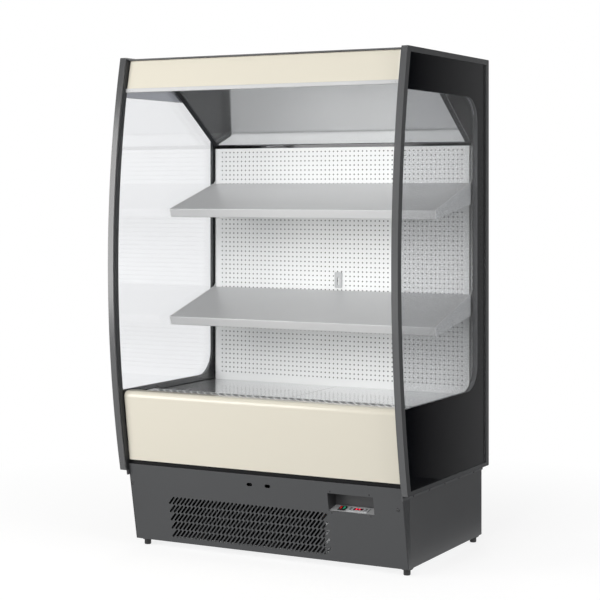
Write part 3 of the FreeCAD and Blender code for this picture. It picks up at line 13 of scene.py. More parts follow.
import bmesh
import bpy
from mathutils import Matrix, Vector


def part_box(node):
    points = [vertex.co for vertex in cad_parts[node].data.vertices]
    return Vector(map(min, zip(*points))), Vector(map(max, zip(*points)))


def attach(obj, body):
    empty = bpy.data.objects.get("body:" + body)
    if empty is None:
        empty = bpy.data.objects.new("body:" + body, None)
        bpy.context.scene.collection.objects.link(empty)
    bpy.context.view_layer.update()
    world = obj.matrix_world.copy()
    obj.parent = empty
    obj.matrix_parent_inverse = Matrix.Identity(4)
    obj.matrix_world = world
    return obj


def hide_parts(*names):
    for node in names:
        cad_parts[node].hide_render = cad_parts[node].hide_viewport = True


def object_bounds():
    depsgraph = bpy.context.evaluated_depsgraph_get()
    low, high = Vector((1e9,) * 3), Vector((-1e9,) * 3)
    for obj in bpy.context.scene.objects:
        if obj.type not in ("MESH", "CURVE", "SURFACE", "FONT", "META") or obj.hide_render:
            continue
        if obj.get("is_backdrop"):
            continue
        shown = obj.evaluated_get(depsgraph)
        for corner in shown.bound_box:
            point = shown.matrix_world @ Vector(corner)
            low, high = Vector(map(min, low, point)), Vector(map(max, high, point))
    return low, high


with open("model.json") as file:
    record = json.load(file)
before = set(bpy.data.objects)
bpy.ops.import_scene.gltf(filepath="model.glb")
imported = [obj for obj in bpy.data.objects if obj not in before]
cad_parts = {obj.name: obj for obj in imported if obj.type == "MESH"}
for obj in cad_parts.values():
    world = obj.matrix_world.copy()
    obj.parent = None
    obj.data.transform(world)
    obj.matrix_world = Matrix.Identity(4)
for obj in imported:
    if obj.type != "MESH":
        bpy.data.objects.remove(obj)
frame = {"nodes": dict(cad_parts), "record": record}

cad_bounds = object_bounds()
nodes = frame["nodes"]

# %% [markdown]
# The camera comes next, because every later choice is judged through it. The photograph was taken
# with a long lens, level, at about chest height and from the right. Its frame hangs below the
# horizon, as with a shift lens: upright edges stay upright, so a lens shift is used and no tilt.

# %% camera
scene = bpy.context.scene
camera_data = bpy.data.cameras.new("shop_camera")
camera = bpy.data.objects.new("shop_camera", camera_data)
scene.collection.objects.link(camera)
camera_data.sensor_width = 36.0
camera_data.lens = 98.63
camera_data.shift_y = -0.18395
camera_data.clip_end = 60.0
camera_turn = 28.077
camera.location = (2.772, -5.2045, 1.281)
camera.rotation_euler = (math.radians(90.0), 0.0, math.radians(camera_turn))
scene.camera = camera
scene.view_settings.view_transform = "Standard"
print("camera stands", round(camera.location.length, 2), "m from the origin")

# %% [markdown]
# A few helpers build meshes from plain lists of points. Each new piece is put in place in the
# cabinet's own frame, in metres, and then rides on the body that carries it.

# %% mesh helpers
merge_distance = 1e-6


def mesh_piece(name, points, faces, material, body="cabinet", smooth=False):
    """A mesh object from points and faces, given its material and hung on its body."""
    mesh = bpy.data.meshes.new(name)
    mesh.from_pydata([tuple(p) for p in points], [], faces)
    mesh.update()
    work = bmesh.new()
    work.from_mesh(mesh)
    bmesh.ops.remove_doubles(work, verts=work.verts, dist=merge_distance)
    bmesh.ops.recalc_face_normals(work, faces=work.faces)
    work.to_mesh(mesh)
    work.free()
    piece = bpy.data.objects.new(name, mesh)
    scene.collection.objects.link(piece)
    mesh.materials.append(material)
    for polygon in mesh.polygons:
        polygon.use_smooth = smooth
    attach(piece, body)
    return piece


def block(low, high):
    """Points and faces of a box."""
    (x0, y0, z0), (x1, y1, z1) = low, high
    points = [(x0, y0, z0), (x1, y0, z0), (x1, y1, z0), (x0, y1, z0),
              (x0, y0, z1), (x1, y0, z1), (x1, y1, z1), (x0, y1, z1)]
    faces = [(0, 3, 2, 1), (4, 5, 6, 7), (0, 1, 5, 4), (1, 2, 6, 5), (2, 3, 7, 6), (3, 0, 4, 7)]
    return points, faces


def joined(parts):
    """One list of points and faces from several."""
    points = []
    faces = []
    for part_points, part_faces in parts:
        start = len(points)
        points += [tuple(p) for p in part_points]
        faces += [tuple(i + start for i in face) for face in part_faces]
    return points, faces


print("mesh helpers ready")

# %% [markdown]
# ## Finishes
# Every finish is a small network of shader nodes. The same few steps come back in all of them, so
# these helpers add a node, do a sum or read one part of a vector in one line each.

# %% node helpers
def added(tree, kind, **values):
    """A new node with some of its inputs set by name, where From_Min stands for From Min."""
    node = tree.nodes.new(kind)
    for label, value in values.items():
        node.inputs[label.replace("_", " ")].default_value = value
    return node


def connect(tree, value, socket):
    """Set a socket to a number, or link another node's output to it."""
    if isinstance(value, (int, float)):
        socket.default_value = value
    else:
        tree.links.new(value, socket)


def maths(tree, operation, *values, clamp=False):
    """The result of a Math node, whose values are numbers or outputs of other nodes."""
    node = tree.nodes.new("ShaderNodeMath")
    node.operation = operation
    node.use_clamp = clamp
    for value, socket in zip(values, node.inputs):
        connect(tree, value, socket)
    return node.outputs[0]


def part_of(tree, vector, axis):
    """The X, Y or Z part of a vector."""
    split = tree.nodes.new("ShaderNodeSeparateXYZ")
    tree.links.new(vector, split.inputs[0])
    return split.outputs[axis]


print("node helpers ready")

# %% [markdown]
# Real surfaces are never quite even. These three make that unevenness: a grey noise, the normal of
# a surface that such a noise lifts, and a roughness that it moves up and down.

# %% unevenness
def noise(tree, vector, scale, detail):
    """A grey noise, read at the vector."""
    node = added(tree, "ShaderNodeTexNoise", Detail=detail)
    tree.links.new(vector, node.inputs["Vector"])
    connect(tree, scale, node.inputs["Scale"])
    return node.outputs["Fac"]


def bumped(tree, height, strength, distance):
    """The normal of a surface that the height lifts."""
    node = added(tree, "ShaderNodeBump", Distance=distance)
    tree.links.new(strength, node.inputs["Strength"])
    tree.links.new(height, node.inputs["Height"])
    return node.outputs["Normal"]


def varied(tree, grey, enter):
    """The group's Roughness, moved up and down by a noise within its Spread."""
    centred = maths(tree, "SUBTRACT", grey, 0.5)
    return maths(tree, "MULTIPLY_ADD", centred, enter.outputs["Spread"], enter.outputs["Roughness"])


print("unevenness ready")

# %% [markdown]
# Three effects are shared by many finishes, so each is a node group with its own inputs. The first
# is the faint orange-peel of stoved paint: a fine noise that tips the surface by a hair, and a
# broad one that makes it a little more or less glossy from place to place.

# %% paint grain group
def new_group(name, inputs, outputs):
    """An empty shader node group with float inputs and the outputs it is asked for."""
    group = bpy.data.node_groups.new(name, "ShaderNodeTree")
    for label, value in inputs:
        socket = group.interface.new_socket(label, in_out="INPUT", socket_type="NodeSocketFloat")
        socket.default_value = value
    for label, kind in outputs:
        group.interface.new_socket(label, in_out="OUTPUT", socket_type=kind)
    enter = group.nodes.new("NodeGroupInput")
    leave = group.nodes.new("NodeGroupOutput")
    return group, enter, leave


surface_outputs = [("Normal", "NodeSocketVector"), ("Roughness", "NodeSocketFloat")]
paint_grain, enter, leave = new_group(
    "paint_grain",
    [("Scale", 900.0), ("Depth", 0.05), ("Roughness", 0.35), ("Spread", 0.06)],
    surface_outputs,
)
spot = added(paint_grain, "ShaderNodeTexCoord").outputs["Object"]
peel = noise(paint_grain, spot, enter.outputs["Scale"], 2.0)
normal = bumped(paint_grain, peel, enter.outputs["Depth"], 0.0004)
cloud = noise(paint_grain, spot, 5.0, 4.0)
paint_grain.links.new(normal, leave.inputs["Normal"])
paint_grain.links.new(varied(paint_grain, cloud, enter), leave.inputs["Roughness"])
print("group:", paint_grain.name)

# %% [markdown]
# Rolled and brushed metal has its scratches along one direction. A noise that is squeezed across
# that direction gives long streaks, which only change how rough the metal is and how it catches
# light.

# %% metal grain group
metal_grain, enter, leave = new_group(
    "metal_grain",
    [("Across", 900.0), ("Along", 6.0), ("Roughness", 0.3), ("Spread", 0.12), ("Depth", 0.04)],
    surface_outputs,
)
spot = added(metal_grain, "ShaderNodeTexCoord").outputs["Object"]
stretch = metal_grain.nodes.new("ShaderNodeCombineXYZ")
for axis, factor in (("X", "Along"), ("Y", "Across"), ("Z", "Across")):
    scaled = maths(metal_grain, "MULTIPLY", part_of(metal_grain, spot, axis),
                   enter.outputs[factor])
    metal_grain.links.new(scaled, stretch.inputs[axis])
streak = noise(metal_grain, stretch.outputs[0], 1.0, 3.0)
normal = bumped(metal_grain, streak, enter.outputs["Depth"], 0.0002)
metal_grain.links.new(normal, leave.inputs["Normal"])
metal_grain.links.new(varied(metal_grain, streak, enter), leave.inputs["Roughness"])
print("group:", metal_grain.name)

# %% [markdown]
# Even a clean cabinet has a trace of dust on what faces up. The third group gives a mask: how far a
# face looks up, broken by a soft noise. Each finish decides how much of it to mix in.

# %% settled dust group
settled_dust, enter, leave = new_group(
    "settled_dust",
    [("Amount", 0.1)],
    [("Mask", "NodeSocketFloat")],
)
facing = added(settled_dust, "ShaderNodeNewGeometry").outputs["Normal"]
upward = maths(settled_dust, "MULTIPLY_ADD", part_of(settled_dust, facing, "Z"), 0.7, 0.3,
               clamp=True)
spot = added(settled_dust, "ShaderNodeTexCoord").outputs["Object"]
broken = maths(settled_dust, "MULTIPLY", upward, noise(settled_dust, spot, 14.0, 5.0))
mask = maths(settled_dust, "MULTIPLY", broken, enter.outputs["Amount"])
settled_dust.links.new(mask, leave.inputs["Mask"])
print("group:", settled_dust.name)

# %% [markdown]
# A material starts bare, with the shader that Blender gives it. Groups are then placed in its tree,
# and colours are laid one over another by a mask, as a painter lays one coat over the next.

# %% material helpers
def bare_material(name):
    """A new material with its node tree and its Principled BSDF."""
    material = bpy.data.materials.new(name)
    material.use_nodes = True
    tree = material.node_tree
    return material, tree, tree.nodes["Principled BSDF"]


def place_group(tree, group, **values):
    """A group node with its inputs set by name."""
    node = tree.nodes.new("ShaderNodeGroup")
    node.node_tree = group
    for label, value in values.items():
        node.inputs[label].default_value = value
    return node


def layered(tree, colour, mask, over):
    """A colour (or the output before it) with another laid over it as far as the mask goes."""
    blend = tree.nodes.new("ShaderNodeMix")
    blend.data_type = "RGBA"
    under_socket, over_socket = blend.inputs[6], blend.inputs[7]
    if isinstance(colour, tuple):
        under_socket.default_value = (*colour, 1.0)
    else:
        tree.links.new(colour, under_socket)
    over_socket.default_value = (*over, 1.0)
    tree.links.new(mask, blend.inputs[0])
    return blend.outputs[2]


print("material helpers ready")

# %% [markdown]
# Most finishes differ only in a few numbers, so one helper makes a stoved paint and one a metal.
# What is constant over the surface is set on the shader's own sockets, and the groups feed only
# what changes from place to place.

# %% paint and metal
dust_colour = (0.45, 0.44, 0.42)
coat_roughness = 0.08


def paint(name, colour, roughness=0.35, metallic=0.0, coat=0.0, grain=0.05, spread=0.06, dust=0.0):
    """Stoved paint, with dust on what faces up if it is asked for."""
    material, tree, shader = bare_material(name)
    shader.inputs["Base Color"].default_value = (*colour, 1.0)
    shader.inputs["Metallic"].default_value = metallic
    shader.inputs["Coat Weight"].default_value = coat
    shader.inputs["Coat Roughness"].default_value = coat_roughness
    peel = place_group(tree, paint_grain, Depth=grain, Roughness=roughness, Spread=spread)
    tree.links.new(peel.outputs["Normal"], shader.inputs["Normal"])
    tree.links.new(peel.outputs["Roughness"], shader.inputs["Roughness"])
    if dust > 0:
        mask = place_group(tree, settled_dust, Amount=dust).outputs["Mask"]
        tree.links.new(layered(tree, colour, mask, dust_colour), shader.inputs["Base Color"])
    return material


def metal(name, colour, roughness=0.3, spread=0.12, depth=0.04, along=6.0, across=900.0,
          metallic=1.0):
    """Bare or thinly painted metal with streaks along X."""
    material, tree, shader = bare_material(name)
    shader.inputs["Base Color"].default_value = (*colour, 1.0)
    shader.inputs["Metallic"].default_value = metallic
    streaks = place_group(tree, metal_grain, Roughness=roughness, Spread=spread, Depth=depth,
                          Along=along, Across=across)
    tree.links.new(streaks.outputs["Roughness"], shader.inputs["Roughness"])
    tree.links.new(streaks.outputs["Normal"], shader.inputs["Normal"])
    return material


print("paint and metal ready")

# %% [markdown]
# Colours that come back in several places get a name. The whites are kept under the white of paper
# and the blacks over none at all, since real paint is never quite either.

# %% shared colours
ink_black = (0.012, 0.012, 0.013)
enamel_white = (0.85, 0.86, 0.86)
outer_white = (0.78, 0.79, 0.79)
canopy_pale = (0.80, 0.81, 0.81)
frame_dark = (0.104, 0.106, 0.109)
mirror_pale = (0.86, 0.865, 0.87)
rubber_black = (0.016, 0.017, 0.019)
pocket_dark = (0.05, 0.051, 0.053)
print("body of the cabinet:", outer_white)

# %% [markdown]
# The plain finishes take a line or two each. Outside, the front is cream and the frames are dark
# painted aluminium. Inside, the shelves and the lining are pale, and the machinery is black, zinc
# and copper.

# %% plain finishes
paints = {
    "cream_paint": dict(colour=(0.725, 0.685, 0.58), roughness=0.22, coat=0.5, grain=0.02),
    "plinth_grey": dict(colour=(0.075, 0.077, 0.080), roughness=0.5, metallic=0.2, grain=0.12,
                        spread=0.08, dust=0.06),
    "panel_white": dict(colour=enamel_white, roughness=0.33, grain=0.03),
    "shelf_grey": dict(colour=(0.60, 0.605, 0.61), roughness=0.36, metallic=0.1, grain=0.0),
    "canopy_white": dict(colour=canopy_pale, roughness=0.35, grain=0.03),
    "body_white": dict(colour=outer_white, roughness=0.4, grain=0.04, dust=0.05),
    "strip_black": dict(colour=rubber_black, roughness=0.45, grain=0.08),
    "honeycomb_black": dict(colour=(0.03, 0.03, 0.033), roughness=0.55),
    "fan_black": dict(colour=(0.018, 0.018, 0.02), roughness=0.45),
    "tray_black": dict(colour=(0.03, 0.03, 0.032), roughness=0.6, dust=0.25),
    "box_grey": dict(colour=(0.28, 0.29, 0.30), roughness=0.5, dust=0.15),
    "foot_black": dict(colour=ink_black, roughness=0.5),
    "compressor_black": dict(colour=(0.014, 0.014, 0.015), roughness=0.3, dust=0.15),
    "case_grey": dict(colour=(0.48, 0.49, 0.50), roughness=0.35),
    "key_grey": dict(colour=(0.10, 0.105, 0.11), roughness=0.4),
    "switch_black": dict(colour=ink_black, roughness=0.25),
    "screw_dark": dict(colour=(0.05, 0.05, 0.052), roughness=0.22, metallic=0.4),
    "rim_grey": dict(colour=(0.125, 0.127, 0.130), roughness=0.4, grain=0.0),
}
metals = {
    "frame_grey": dict(colour=frame_dark, roughness=0.22, spread=0.05, along=4.0, metallic=0.35),
    "trim_aluminium": dict(colour=(0.54, 0.545, 0.55), roughness=0.45, metallic=0.0),
    "mirror_steel": dict(colour=mirror_pale, roughness=0.09, spread=0.03, depth=0.004),
    "deck_steel": dict(colour=(0.72, 0.725, 0.73), roughness=0.14, spread=0.05, depth=0.01,
                       metallic=0.7),
    "steel_zinc": dict(colour=(0.52, 0.53, 0.54), roughness=0.42, spread=0.15),
    # The condenser coil is near black: its black coating, and painted shade that keeps the kick's
    # slots dark.
    "coil_dark": dict(colour=(0.022, 0.023, 0.025), roughness=0.5, along=900.0, across=40.0,
                      metallic=0.5),
    "coil_aluminium": dict(colour=(0.66, 0.67, 0.68), roughness=0.4, along=900.0, across=40.0),
    "copper_line": dict(colour=(0.62, 0.30, 0.16), roughness=0.35),
    "screw_steel": dict(colour=(0.50, 0.50, 0.51), roughness=0.3),
}
finish = {name: paint(name, **values) for name, values in paints.items()}
finish.update({name: metal(name, **values) for name, values in metals.items()})
print("plain finishes:", len(finish))

# %% [markdown]
# Some pieces carry two or three colours on one body. The control pocket is dark on its walls and
# light on the faces that look up. The tub is a dark grey moulding with a black front edge, both of
# them painted shade. The rear wall is white outside, and its face in the air duct is painted dark
# as painted shade. Tests of the face's direction and of the place on the piece choose between the
# colours, so no seam has to be modelled.

# %% masks
def tested(tree, spot, source, axis, sign, limit):
    """1 where a part of the Normal, the Object place or their product is past a limit, else 0.

    The product, named Outward, is positive on faces that look away from the middle of the
    cabinet. Bars round the axis, as in |X|, ask for the size of that part without its sign.
    """
    if source == "Outward":
        product = tree.nodes.new("ShaderNodeVectorMath")
        product.operation = "MULTIPLY"
        tree.links.new(spot.outputs["Normal"], product.inputs[0])
        tree.links.new(spot.outputs["Object"], product.inputs[1])
        vector = product.outputs[0]
    else:
        vector = spot.outputs[source]
    value = part_of(tree, vector, axis.strip("|"))
    if "|" in axis:
        value = maths(tree, "ABSOLUTE", value)
    return maths(tree, "GREATER_THAN" if sign == ">" else "LESS_THAN", value, limit)


def coloured(material, ground, *layers):
    """Base Color: the ground, and over it each layer's colour where all of its tests hold."""
    tree = material.node_tree
    spot = tree.nodes.new("ShaderNodeTexCoord")
    colour = ground
    for over, *tests in layers:
        mask = tested(tree, spot, *tests[0])
        for test in tests[1:]:
            mask = maths(tree, "MULTIPLY", mask, tested(tree, spot, *test))
        colour = layered(tree, colour, mask, over)
    tree.links.new(colour, tree.nodes["Principled BSDF"].inputs["Base Color"])
    return material


def many_coloured(name, roughness, ground, *layers, metallic=0.0, grain=0.02):
    """A new paint whose colour changes with the tests, kept under its name."""
    material = paint(name, (0.5, 0.5, 0.5), roughness=roughness, metallic=metallic, grain=grain)
    finish[name] = coloured(material, ground, *layers)
    return material


print("masks ready")

# %% [markdown]
# The first three of these many-coloured paints are those of the pocket, the tub and the rear wall.

# %% pocket, tub and rear wall
many_coloured("recess_steel", 0.38, pocket_dark,
              ((0.50, 0.505, 0.51), ("Normal", "Z", ">", 0.9)), metallic=0.2)

tub_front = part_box("insulated_tub")[0].y
# Painted shade: the tub's dark grey stands for the shade under the grille's holes, and the black on
# its front edge for the shadow gap under the cream front.
tub_painted_shade = many_coloured("tub_painted_shade", 0.45, (0.10, 0.102, 0.105),
                         (ink_black, ("Object", "Y", "<", tub_front + 0.01)), grain=0.08)
tub_painted_shade.node_tree.nodes["Principled BSDF"].inputs["Specular IOR Level"].default_value = 0.1

liner_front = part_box("rear_wall")[0].y
mirror_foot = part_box("canopy_mirror")[0].z
on_liner = ("Object", "Y", "<", liner_front + 0.001)
# Painted shade: the liner's face in the duct is near black for the shade behind the back panel's
# holes. Above the mirror's foot it keeps the canopy's pale colour.
many_coloured("rear_wall_white_and_shade", 0.4, outer_white,
              ((0.015, 0.0155, 0.017), on_liner),
              (canopy_pale, on_liner, ("Object", "Z", ">", mirror_foot)), grain=0.04)
print("tub front at", round(tub_front, 4), "liner at", round(liner_front, 4))

# %% [markdown]
# The top flange of the kick panel lies in the shadow gap under the cream front, and is painted
# black as painted shade, like the tub's front behind it. The strips that carry the side frames are
# black, but their lower lip, which stays in sight, has the frame's grey.

# %% shadow gap and strip lip
# Painted shade: faces that look up, which is the top flange, are near black for the shadow gap.
many_coloured("kick_grey_and_shade", 0.40, (0.062, 0.064, 0.067),
              ((0.004, 0.004, 0.0045), ("Normal", "Z", ">", 0.7)), metallic=0.25, grain=0.12)

frame_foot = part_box("side_frame_right")[0].z
many_coloured("strip_skin", 0.45, rubber_black,
              ((0.085, 0.087, 0.09), ("Object", "Z", "<", frame_foot + 0.0005)))
print("side frames end below at", round(frame_foot, 4))

# %% [markdown]
# The canopy mirror ends below in a short upright lip. It would throw the lamps straight back, so
# the lip is painted dark: painted shade in place of that shine. The strips that close the canopy's
# two ends are dark inside and pale outside, where they face the glass; the pale is painted light,
# for the light that reaches them through the glass.

# %% mirror lip and end strips
# Painted shade: the lip's front face is dark.
coloured(finish["mirror_steel"], mirror_pale, (pocket_dark, ("Normal", "Y", "<", -0.95)))
# Painted light: faces that look outward are pale, for the light that reaches them through the
# glass.
many_coloured("end_strip_dark_and_painted_light", 0.4, (0.025, 0.026, 0.029),
              ((0.42, 0.425, 0.43), ("Outward", "X", ">", 0.4)))
print("lip and end strips ready")

# %% [markdown]
# The core between the two panes is printed sheet. It is glossy black, but its cut edges, which show
# as a band round the window, are the grey spacer, and above the window its inner face is painted a
# pale lavender: painted light, for the lamp's light falling on it.

# %% core finish
core_low, core_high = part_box("side_core_right")
# Painted light: the lavender layer on the inner face above the window stands for the lamp's light.
core_print_and_light = many_coloured("core_black", 0.12, (0.006, 0.0065, 0.008),
                          ((0.17, 0.175, 0.18), ("Normal", "|X|", "<", 0.5)),
                          ((0.66, 0.67, 0.72), ("Object", "|X|", "<", core_low.x + 0.002),
                           ("Object", "Z", ">", 1.55)), grain=0.0)
core_print_and_light.node_tree.nodes["Principled BSDF"].inputs["Specular IOR Level"].default_value = 0.2
print("core between x", round(core_low.x, 4), "and", round(core_high.x, 4))

# %% [markdown]
# The side frames are drawn aluminium, painted dark on the faces that look out. The face that looks
# into the cabinet is drawn in a lighter grey, which is painted light for the light that falls on
# it.

# %% frame reveal
# Painted light: faces that look into the cabinet are lighter grey.
coloured(finish["frame_grey"], frame_dark, ((0.27, 0.272, 0.275), ("Outward", "X", "<", -0.4)))
print("frame reveal ready")

# %% [markdown]
# Clear double glazing is two plain sheets. A full glass shader would bend the light four times and
# darken what stands behind. Thin flat glass does not bend the view, so each face is clear, with a
# mirror mixed in that grows towards a grazing look. Layer Weight's Facing gives that growth.

# %% glass finish
def blended(tree, share, first, second):
    """Two shaders mixed: the second one takes over as the share grows to 1."""
    mix = tree.nodes.new("ShaderNodeMixShader")
    for source, socket in zip((share, first, second), mix.inputs):
        tree.links.new(source, socket)
    return mix.outputs[0]


def clear_glass(name, base, slope, tint):
    """Clear glass whose mirror share is base when seen square on and grows by slope."""
    material, tree, shader = bare_material(name)
    tree.nodes.remove(shader)
    clear = added(tree, "ShaderNodeBsdfTransparent", Color=(*tint, 1.0))
    shine = added(tree, "ShaderNodeBsdfGlossy", Color=(1.0, 1.0, 1.0, 1.0), Roughness=0.0)
    look = added(tree, "ShaderNodeLayerWeight", Blend=0.5)
    grazing = maths(tree, "POWER", look.outputs["Facing"], 5.0)
    weight = maths(tree, "MULTIPLY_ADD", grazing, slope, base, clamp=True)
    surface = blended(tree, weight, clear.outputs[0], shine.outputs[0])
    tree.links.new(surface, tree.nodes["Material Output"].inputs["Surface"])
    return material


finish["pane_glass"] = clear_glass("pane_glass", 0.045, 0.95, (0.988, 0.990, 0.994))
print("glass ready")

# %% [markdown]
# Small lit and moulded things: the tube behind its frosted skin, the red display window, the two
# coloured rockers.

# %% lit finishes
def plastic(name, colour, roughness=0.25, glow=0.0, glow_colour=None):
    """Smooth plastic, which may glow."""
    material = paint(name, colour, roughness=roughness, grain=0.0, spread=0.03)
    if glow > 0:
        shader = material.node_tree.nodes["Principled BSDF"]
        shader.inputs["Emission Color"].default_value = (*glow_colour, 1.0)
        shader.inputs["Emission Strength"].default_value = glow
    return material


lens_inset = 0.19


def lens_tests(node):
    """Tests that hold on the middle of a rocker only."""
    low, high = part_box(node)
    tests = []
    for axis, low_edge, high_edge in (("X", low.x, high.x), ("Y", low.y, high.y)):
        inset = lens_inset * (high_edge - low_edge)
        tests += [("Object", axis, ">", low_edge + inset), ("Object", axis, "<", high_edge - inset)]
    return tests


finish["lamp_white"] = plastic("lamp_white", (0.85, 0.87, 0.86), roughness=0.4)
finish["display_red"] = plastic("display_red", (0.10, 0.004, 0.008), roughness=0.08)
finish["digit_red"] = plastic("digit_red", (0.8, 0.02, 0.05), glow=1.6,
                              glow_colour=(1.0, 0.02, 0.06))
for name, node, colour in (("rocker_red", "power_rocker", (0.55, 0.03, 0.025)),
                           ("rocker_green", "light_rocker", (0.03, 0.36, 0.20))):
    finish[name] = coloured(plastic(name, colour), ink_black, (colour, *lens_tests(node)))
print("finishes:", len(finish))

# %% [markdown]
# Each solid now gets the finish of its slot in the record. The few that differ, such as the tub and
# the deck, are named here.

# %% dress the solids
slot_of = {part["node"]: part["material_slot"] for part in frame["record"]["subparts"]}
special = {
    "insulated_tub": "tub_painted_shade",
    "deck_pan_left": "deck_steel",
    "deck_pan_right": "deck_steel",
    "condenser_coil": "coil_dark",
    "rear_wall": "rear_wall_white_and_shade",
    "canopy_edge_strips": "end_strip_dark_and_painted_light",
    "kick_panel": "kick_grey_and_shade",
    "side_strips": "strip_skin",
    # The shelf brackets take the panel's white as painted light, for the light from the right on
    # the shelf ends.
    "upper_shelf_brackets": "panel_white",
    "lower_shelf_brackets": "panel_white",
}
for name, piece in nodes.items():
    piece.data.materials.clear()
    piece.data.materials.append(finish[special.get(name, slot_of[name])])
print("dressed", len(nodes), "solids")

# %% [markdown]
# ## Sheet metal with holes
# Sheet metal with rows of holes is the look of this cabinet: the back panel, the air grille. A hole
# is best real, because the dark behind it then shifts as the view does. Each hole sits in a cell of
# its own. The cell's edge has as many points as the hole, so that plain four-sided faces join them,
# and neighbours share the points on their edges.

# %% holed sheet
def holed_cell(cell, hole, thickness, steps, power):
    """One cell of a sheet: (x0, x1, y0, y1) with a hole (cx, cy, half width, half height).

    A power of 1 makes the hole an ellipse, and a smaller one squares its corners up.
    """
    x0, x1, y0, y1 = cell
    cx, cy, rx, ry = hole
    edge = []
    sides = [((x0, y0), (cx, y0), (x1, y0)), ((x1, y0), (x1, cy), (x1, y1)),
             ((x1, y1), (cx, y1), (x0, y1)), ((x0, y1), (x0, cy), (x0, y0))]
    for first, middle, last in sides:
        for start, end in ((first, middle), (middle, last)):
            for k in range(steps):
                t = k / steps
                edge.append((start[0] + (end[0] - start[0]) * t,
                             start[1] + (end[1] - start[1]) * t))
    count = len(edge)
    first_corner = -0.75 * math.pi
    ring = []
    for k in range(count):
        angle = first_corner + 2 * math.pi * k / count
        c, s = math.cos(angle), math.sin(angle)
        ring.append((cx + rx * math.copysign(abs(c) ** power, c),
                     cy + ry * math.copysign(abs(s) ** power, s)))
    points = [(x, y, 0.0) for x, y in edge] + [(x, y, 0.0) for x, y in ring]
    points += [(x, y, -thickness) for x, y in edge] + [(x, y, -thickness) for x, y in ring]
    faces = []
    for k in range(count):
        n = (k + 1) % count
        faces.append((k, n, count + n, count + k))
        faces.append((count + k, count + n, 3 * count + n, 3 * count + k))
        faces.append((2 * count + n, 2 * count + k, 3 * count + k, 3 * count + n))
    return points, faces


def rim_walls(x0, x1, y0, y1, thickness):
    """The four narrow walls round a sheet's outside."""
    corners = [(x0, y0), (x1, y0), (x1, y1), (x0, y1)]
    points = [(x, y, 0.0) for x, y in corners] + [(x, y, -thickness) for x, y in corners]
    faces = [(k, k + 4, (k + 1) % 4 + 4, (k + 1) % 4) for k in range(4)]
    return points, faces


def placed(part, origin, across, up):
    """Lay a flat part drawn in (x, y, z) into the frame: x runs along across and y along up."""
    across = Vector(across)
    up = Vector(up)
    out = across.cross(up)
    points = [Vector(origin) + across * x + up * y + out * z for x, y, z in part[0]]
    return points, part[1]


print("holed sheet ready")

# %% [markdown]
# ## Perforated back panel
# The back wall of the display is a steel duct panel with small round holes on a square grid,
# through which cold air falls. The solid has no holes, so this sheet stands for it, with its side
# returns and the ledge that carries the deck.

# %% back panel
panel_low, panel_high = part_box("back_panel")
ledge_depth = 0.020
panel_front = panel_low.y + ledge_depth
hole_pitch = 0.0173
hole_radius = 0.0029
top_margin = 0.0148
sheet = 0.0012
columns = 59
rows = 50
panel_wide = panel_high.x - panel_low.x
panel_tall = panel_high.z - panel_low.z
first_x = (panel_wide - (columns - 1) * hole_pitch) / 2
first_y = panel_tall - top_margin - (rows - 1) * hole_pitch
cells = []
for i in range(columns):
    for j in range(rows):
        cx = first_x + i * hole_pitch
        cy = first_y + j * hole_pitch
        cell = (0.0 if i == 0 else cx - hole_pitch / 2,
                panel_wide if i == columns - 1 else cx + hole_pitch / 2,
                0.0 if j == 0 else cy - hole_pitch / 2,
                panel_tall if j == rows - 1 else cy + hole_pitch / 2)
        cells.append(holed_cell(cell, (cx, cy, hole_radius, hole_radius), sheet, 1, 1.0))
cells.append(rim_walls(0.0, panel_wide, 0.0, panel_tall, sheet))
front = placed(joined(cells), (panel_low.x, panel_front, panel_low.z), (1, 0, 0), (0, 0, 1))
behind = panel_front + sheet
returns = [block((x, behind, panel_low.z), (x + sheet, panel_high.y, panel_high.z))
           for x in (panel_low.x, panel_high.x - sheet)]
ledge = block(panel_low, (panel_high.x, panel_front, panel_low.z + sheet))
points, faces = joined([front, *returns, ledge])
back_sheet = mesh_piece("perforated_back_panel", points, faces, finish["panel_white"])
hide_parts("back_panel")
print("back panel holes:", columns * rows)

# %% [markdown]
# ## Return air grille
# Between the cream front and the deck the air is drawn back in through rows of oval holes, each row
# set half a step from the next. From the front they show as dark chains. Only the top face is
# white:
# the cut edges, the legs and the underside are painted dark, a painted shade that keeps the holes
# black at a low look.

# %% grille
grille_low, grille_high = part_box("return_grille")
grille_sheet = 0.0015
grille_rows = 7
oval_pitch = 0.0285
row_depth = 0.0205
oval_half_width = oval_pitch * 0.42
oval_half_depth = row_depth * 0.40
side_margins = 0.03
width = grille_high.x - grille_low.x
depth = grille_high.y - grille_low.y
count = int((width - side_margins) / oval_pitch)
edge_x = (width - count * oval_pitch) / 2
edge_y = (depth - grille_rows * row_depth) / 2
cells = []
for row in range(grille_rows):
    odd = row % 2
    starts = [edge_x + (i + odd / 2) * oval_pitch for i in range(count - odd + 1)]
    y0 = edge_y + row * row_depth
    y1 = y0 + row_depth
    for x0 in starts[:-1]:
        hole = (x0 + oval_pitch / 2, y0 + row_depth / 2, oval_half_width, oval_half_depth)
        cells.append(holed_cell((x0, x0 + oval_pitch, y0, y1), hole, grille_sheet, 2, 0.85))
    for low_x, high_x in ((0.0, starts[0]), (starts[-1], width)):
        cells.append(block((low_x, y0, -grille_sheet), (high_x, y1, 0.0)))
for low_y, high_y in ((0.0, edge_y), (depth - edge_y, depth)):
    cells.append(block((0.0, low_y, -grille_sheet), (width, high_y, 0.0)))
top = placed(joined(cells), (grille_low.x, grille_low.y, grille_high.z), (1, 0, 0), (0, 1, 0))
leg_top = grille_high.z - grille_sheet
seat_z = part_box("evaporator_fan_plate")[1].z + 0.0003
front_leg = block(grille_low, (grille_high.x, grille_low.y + grille_sheet, leg_top))
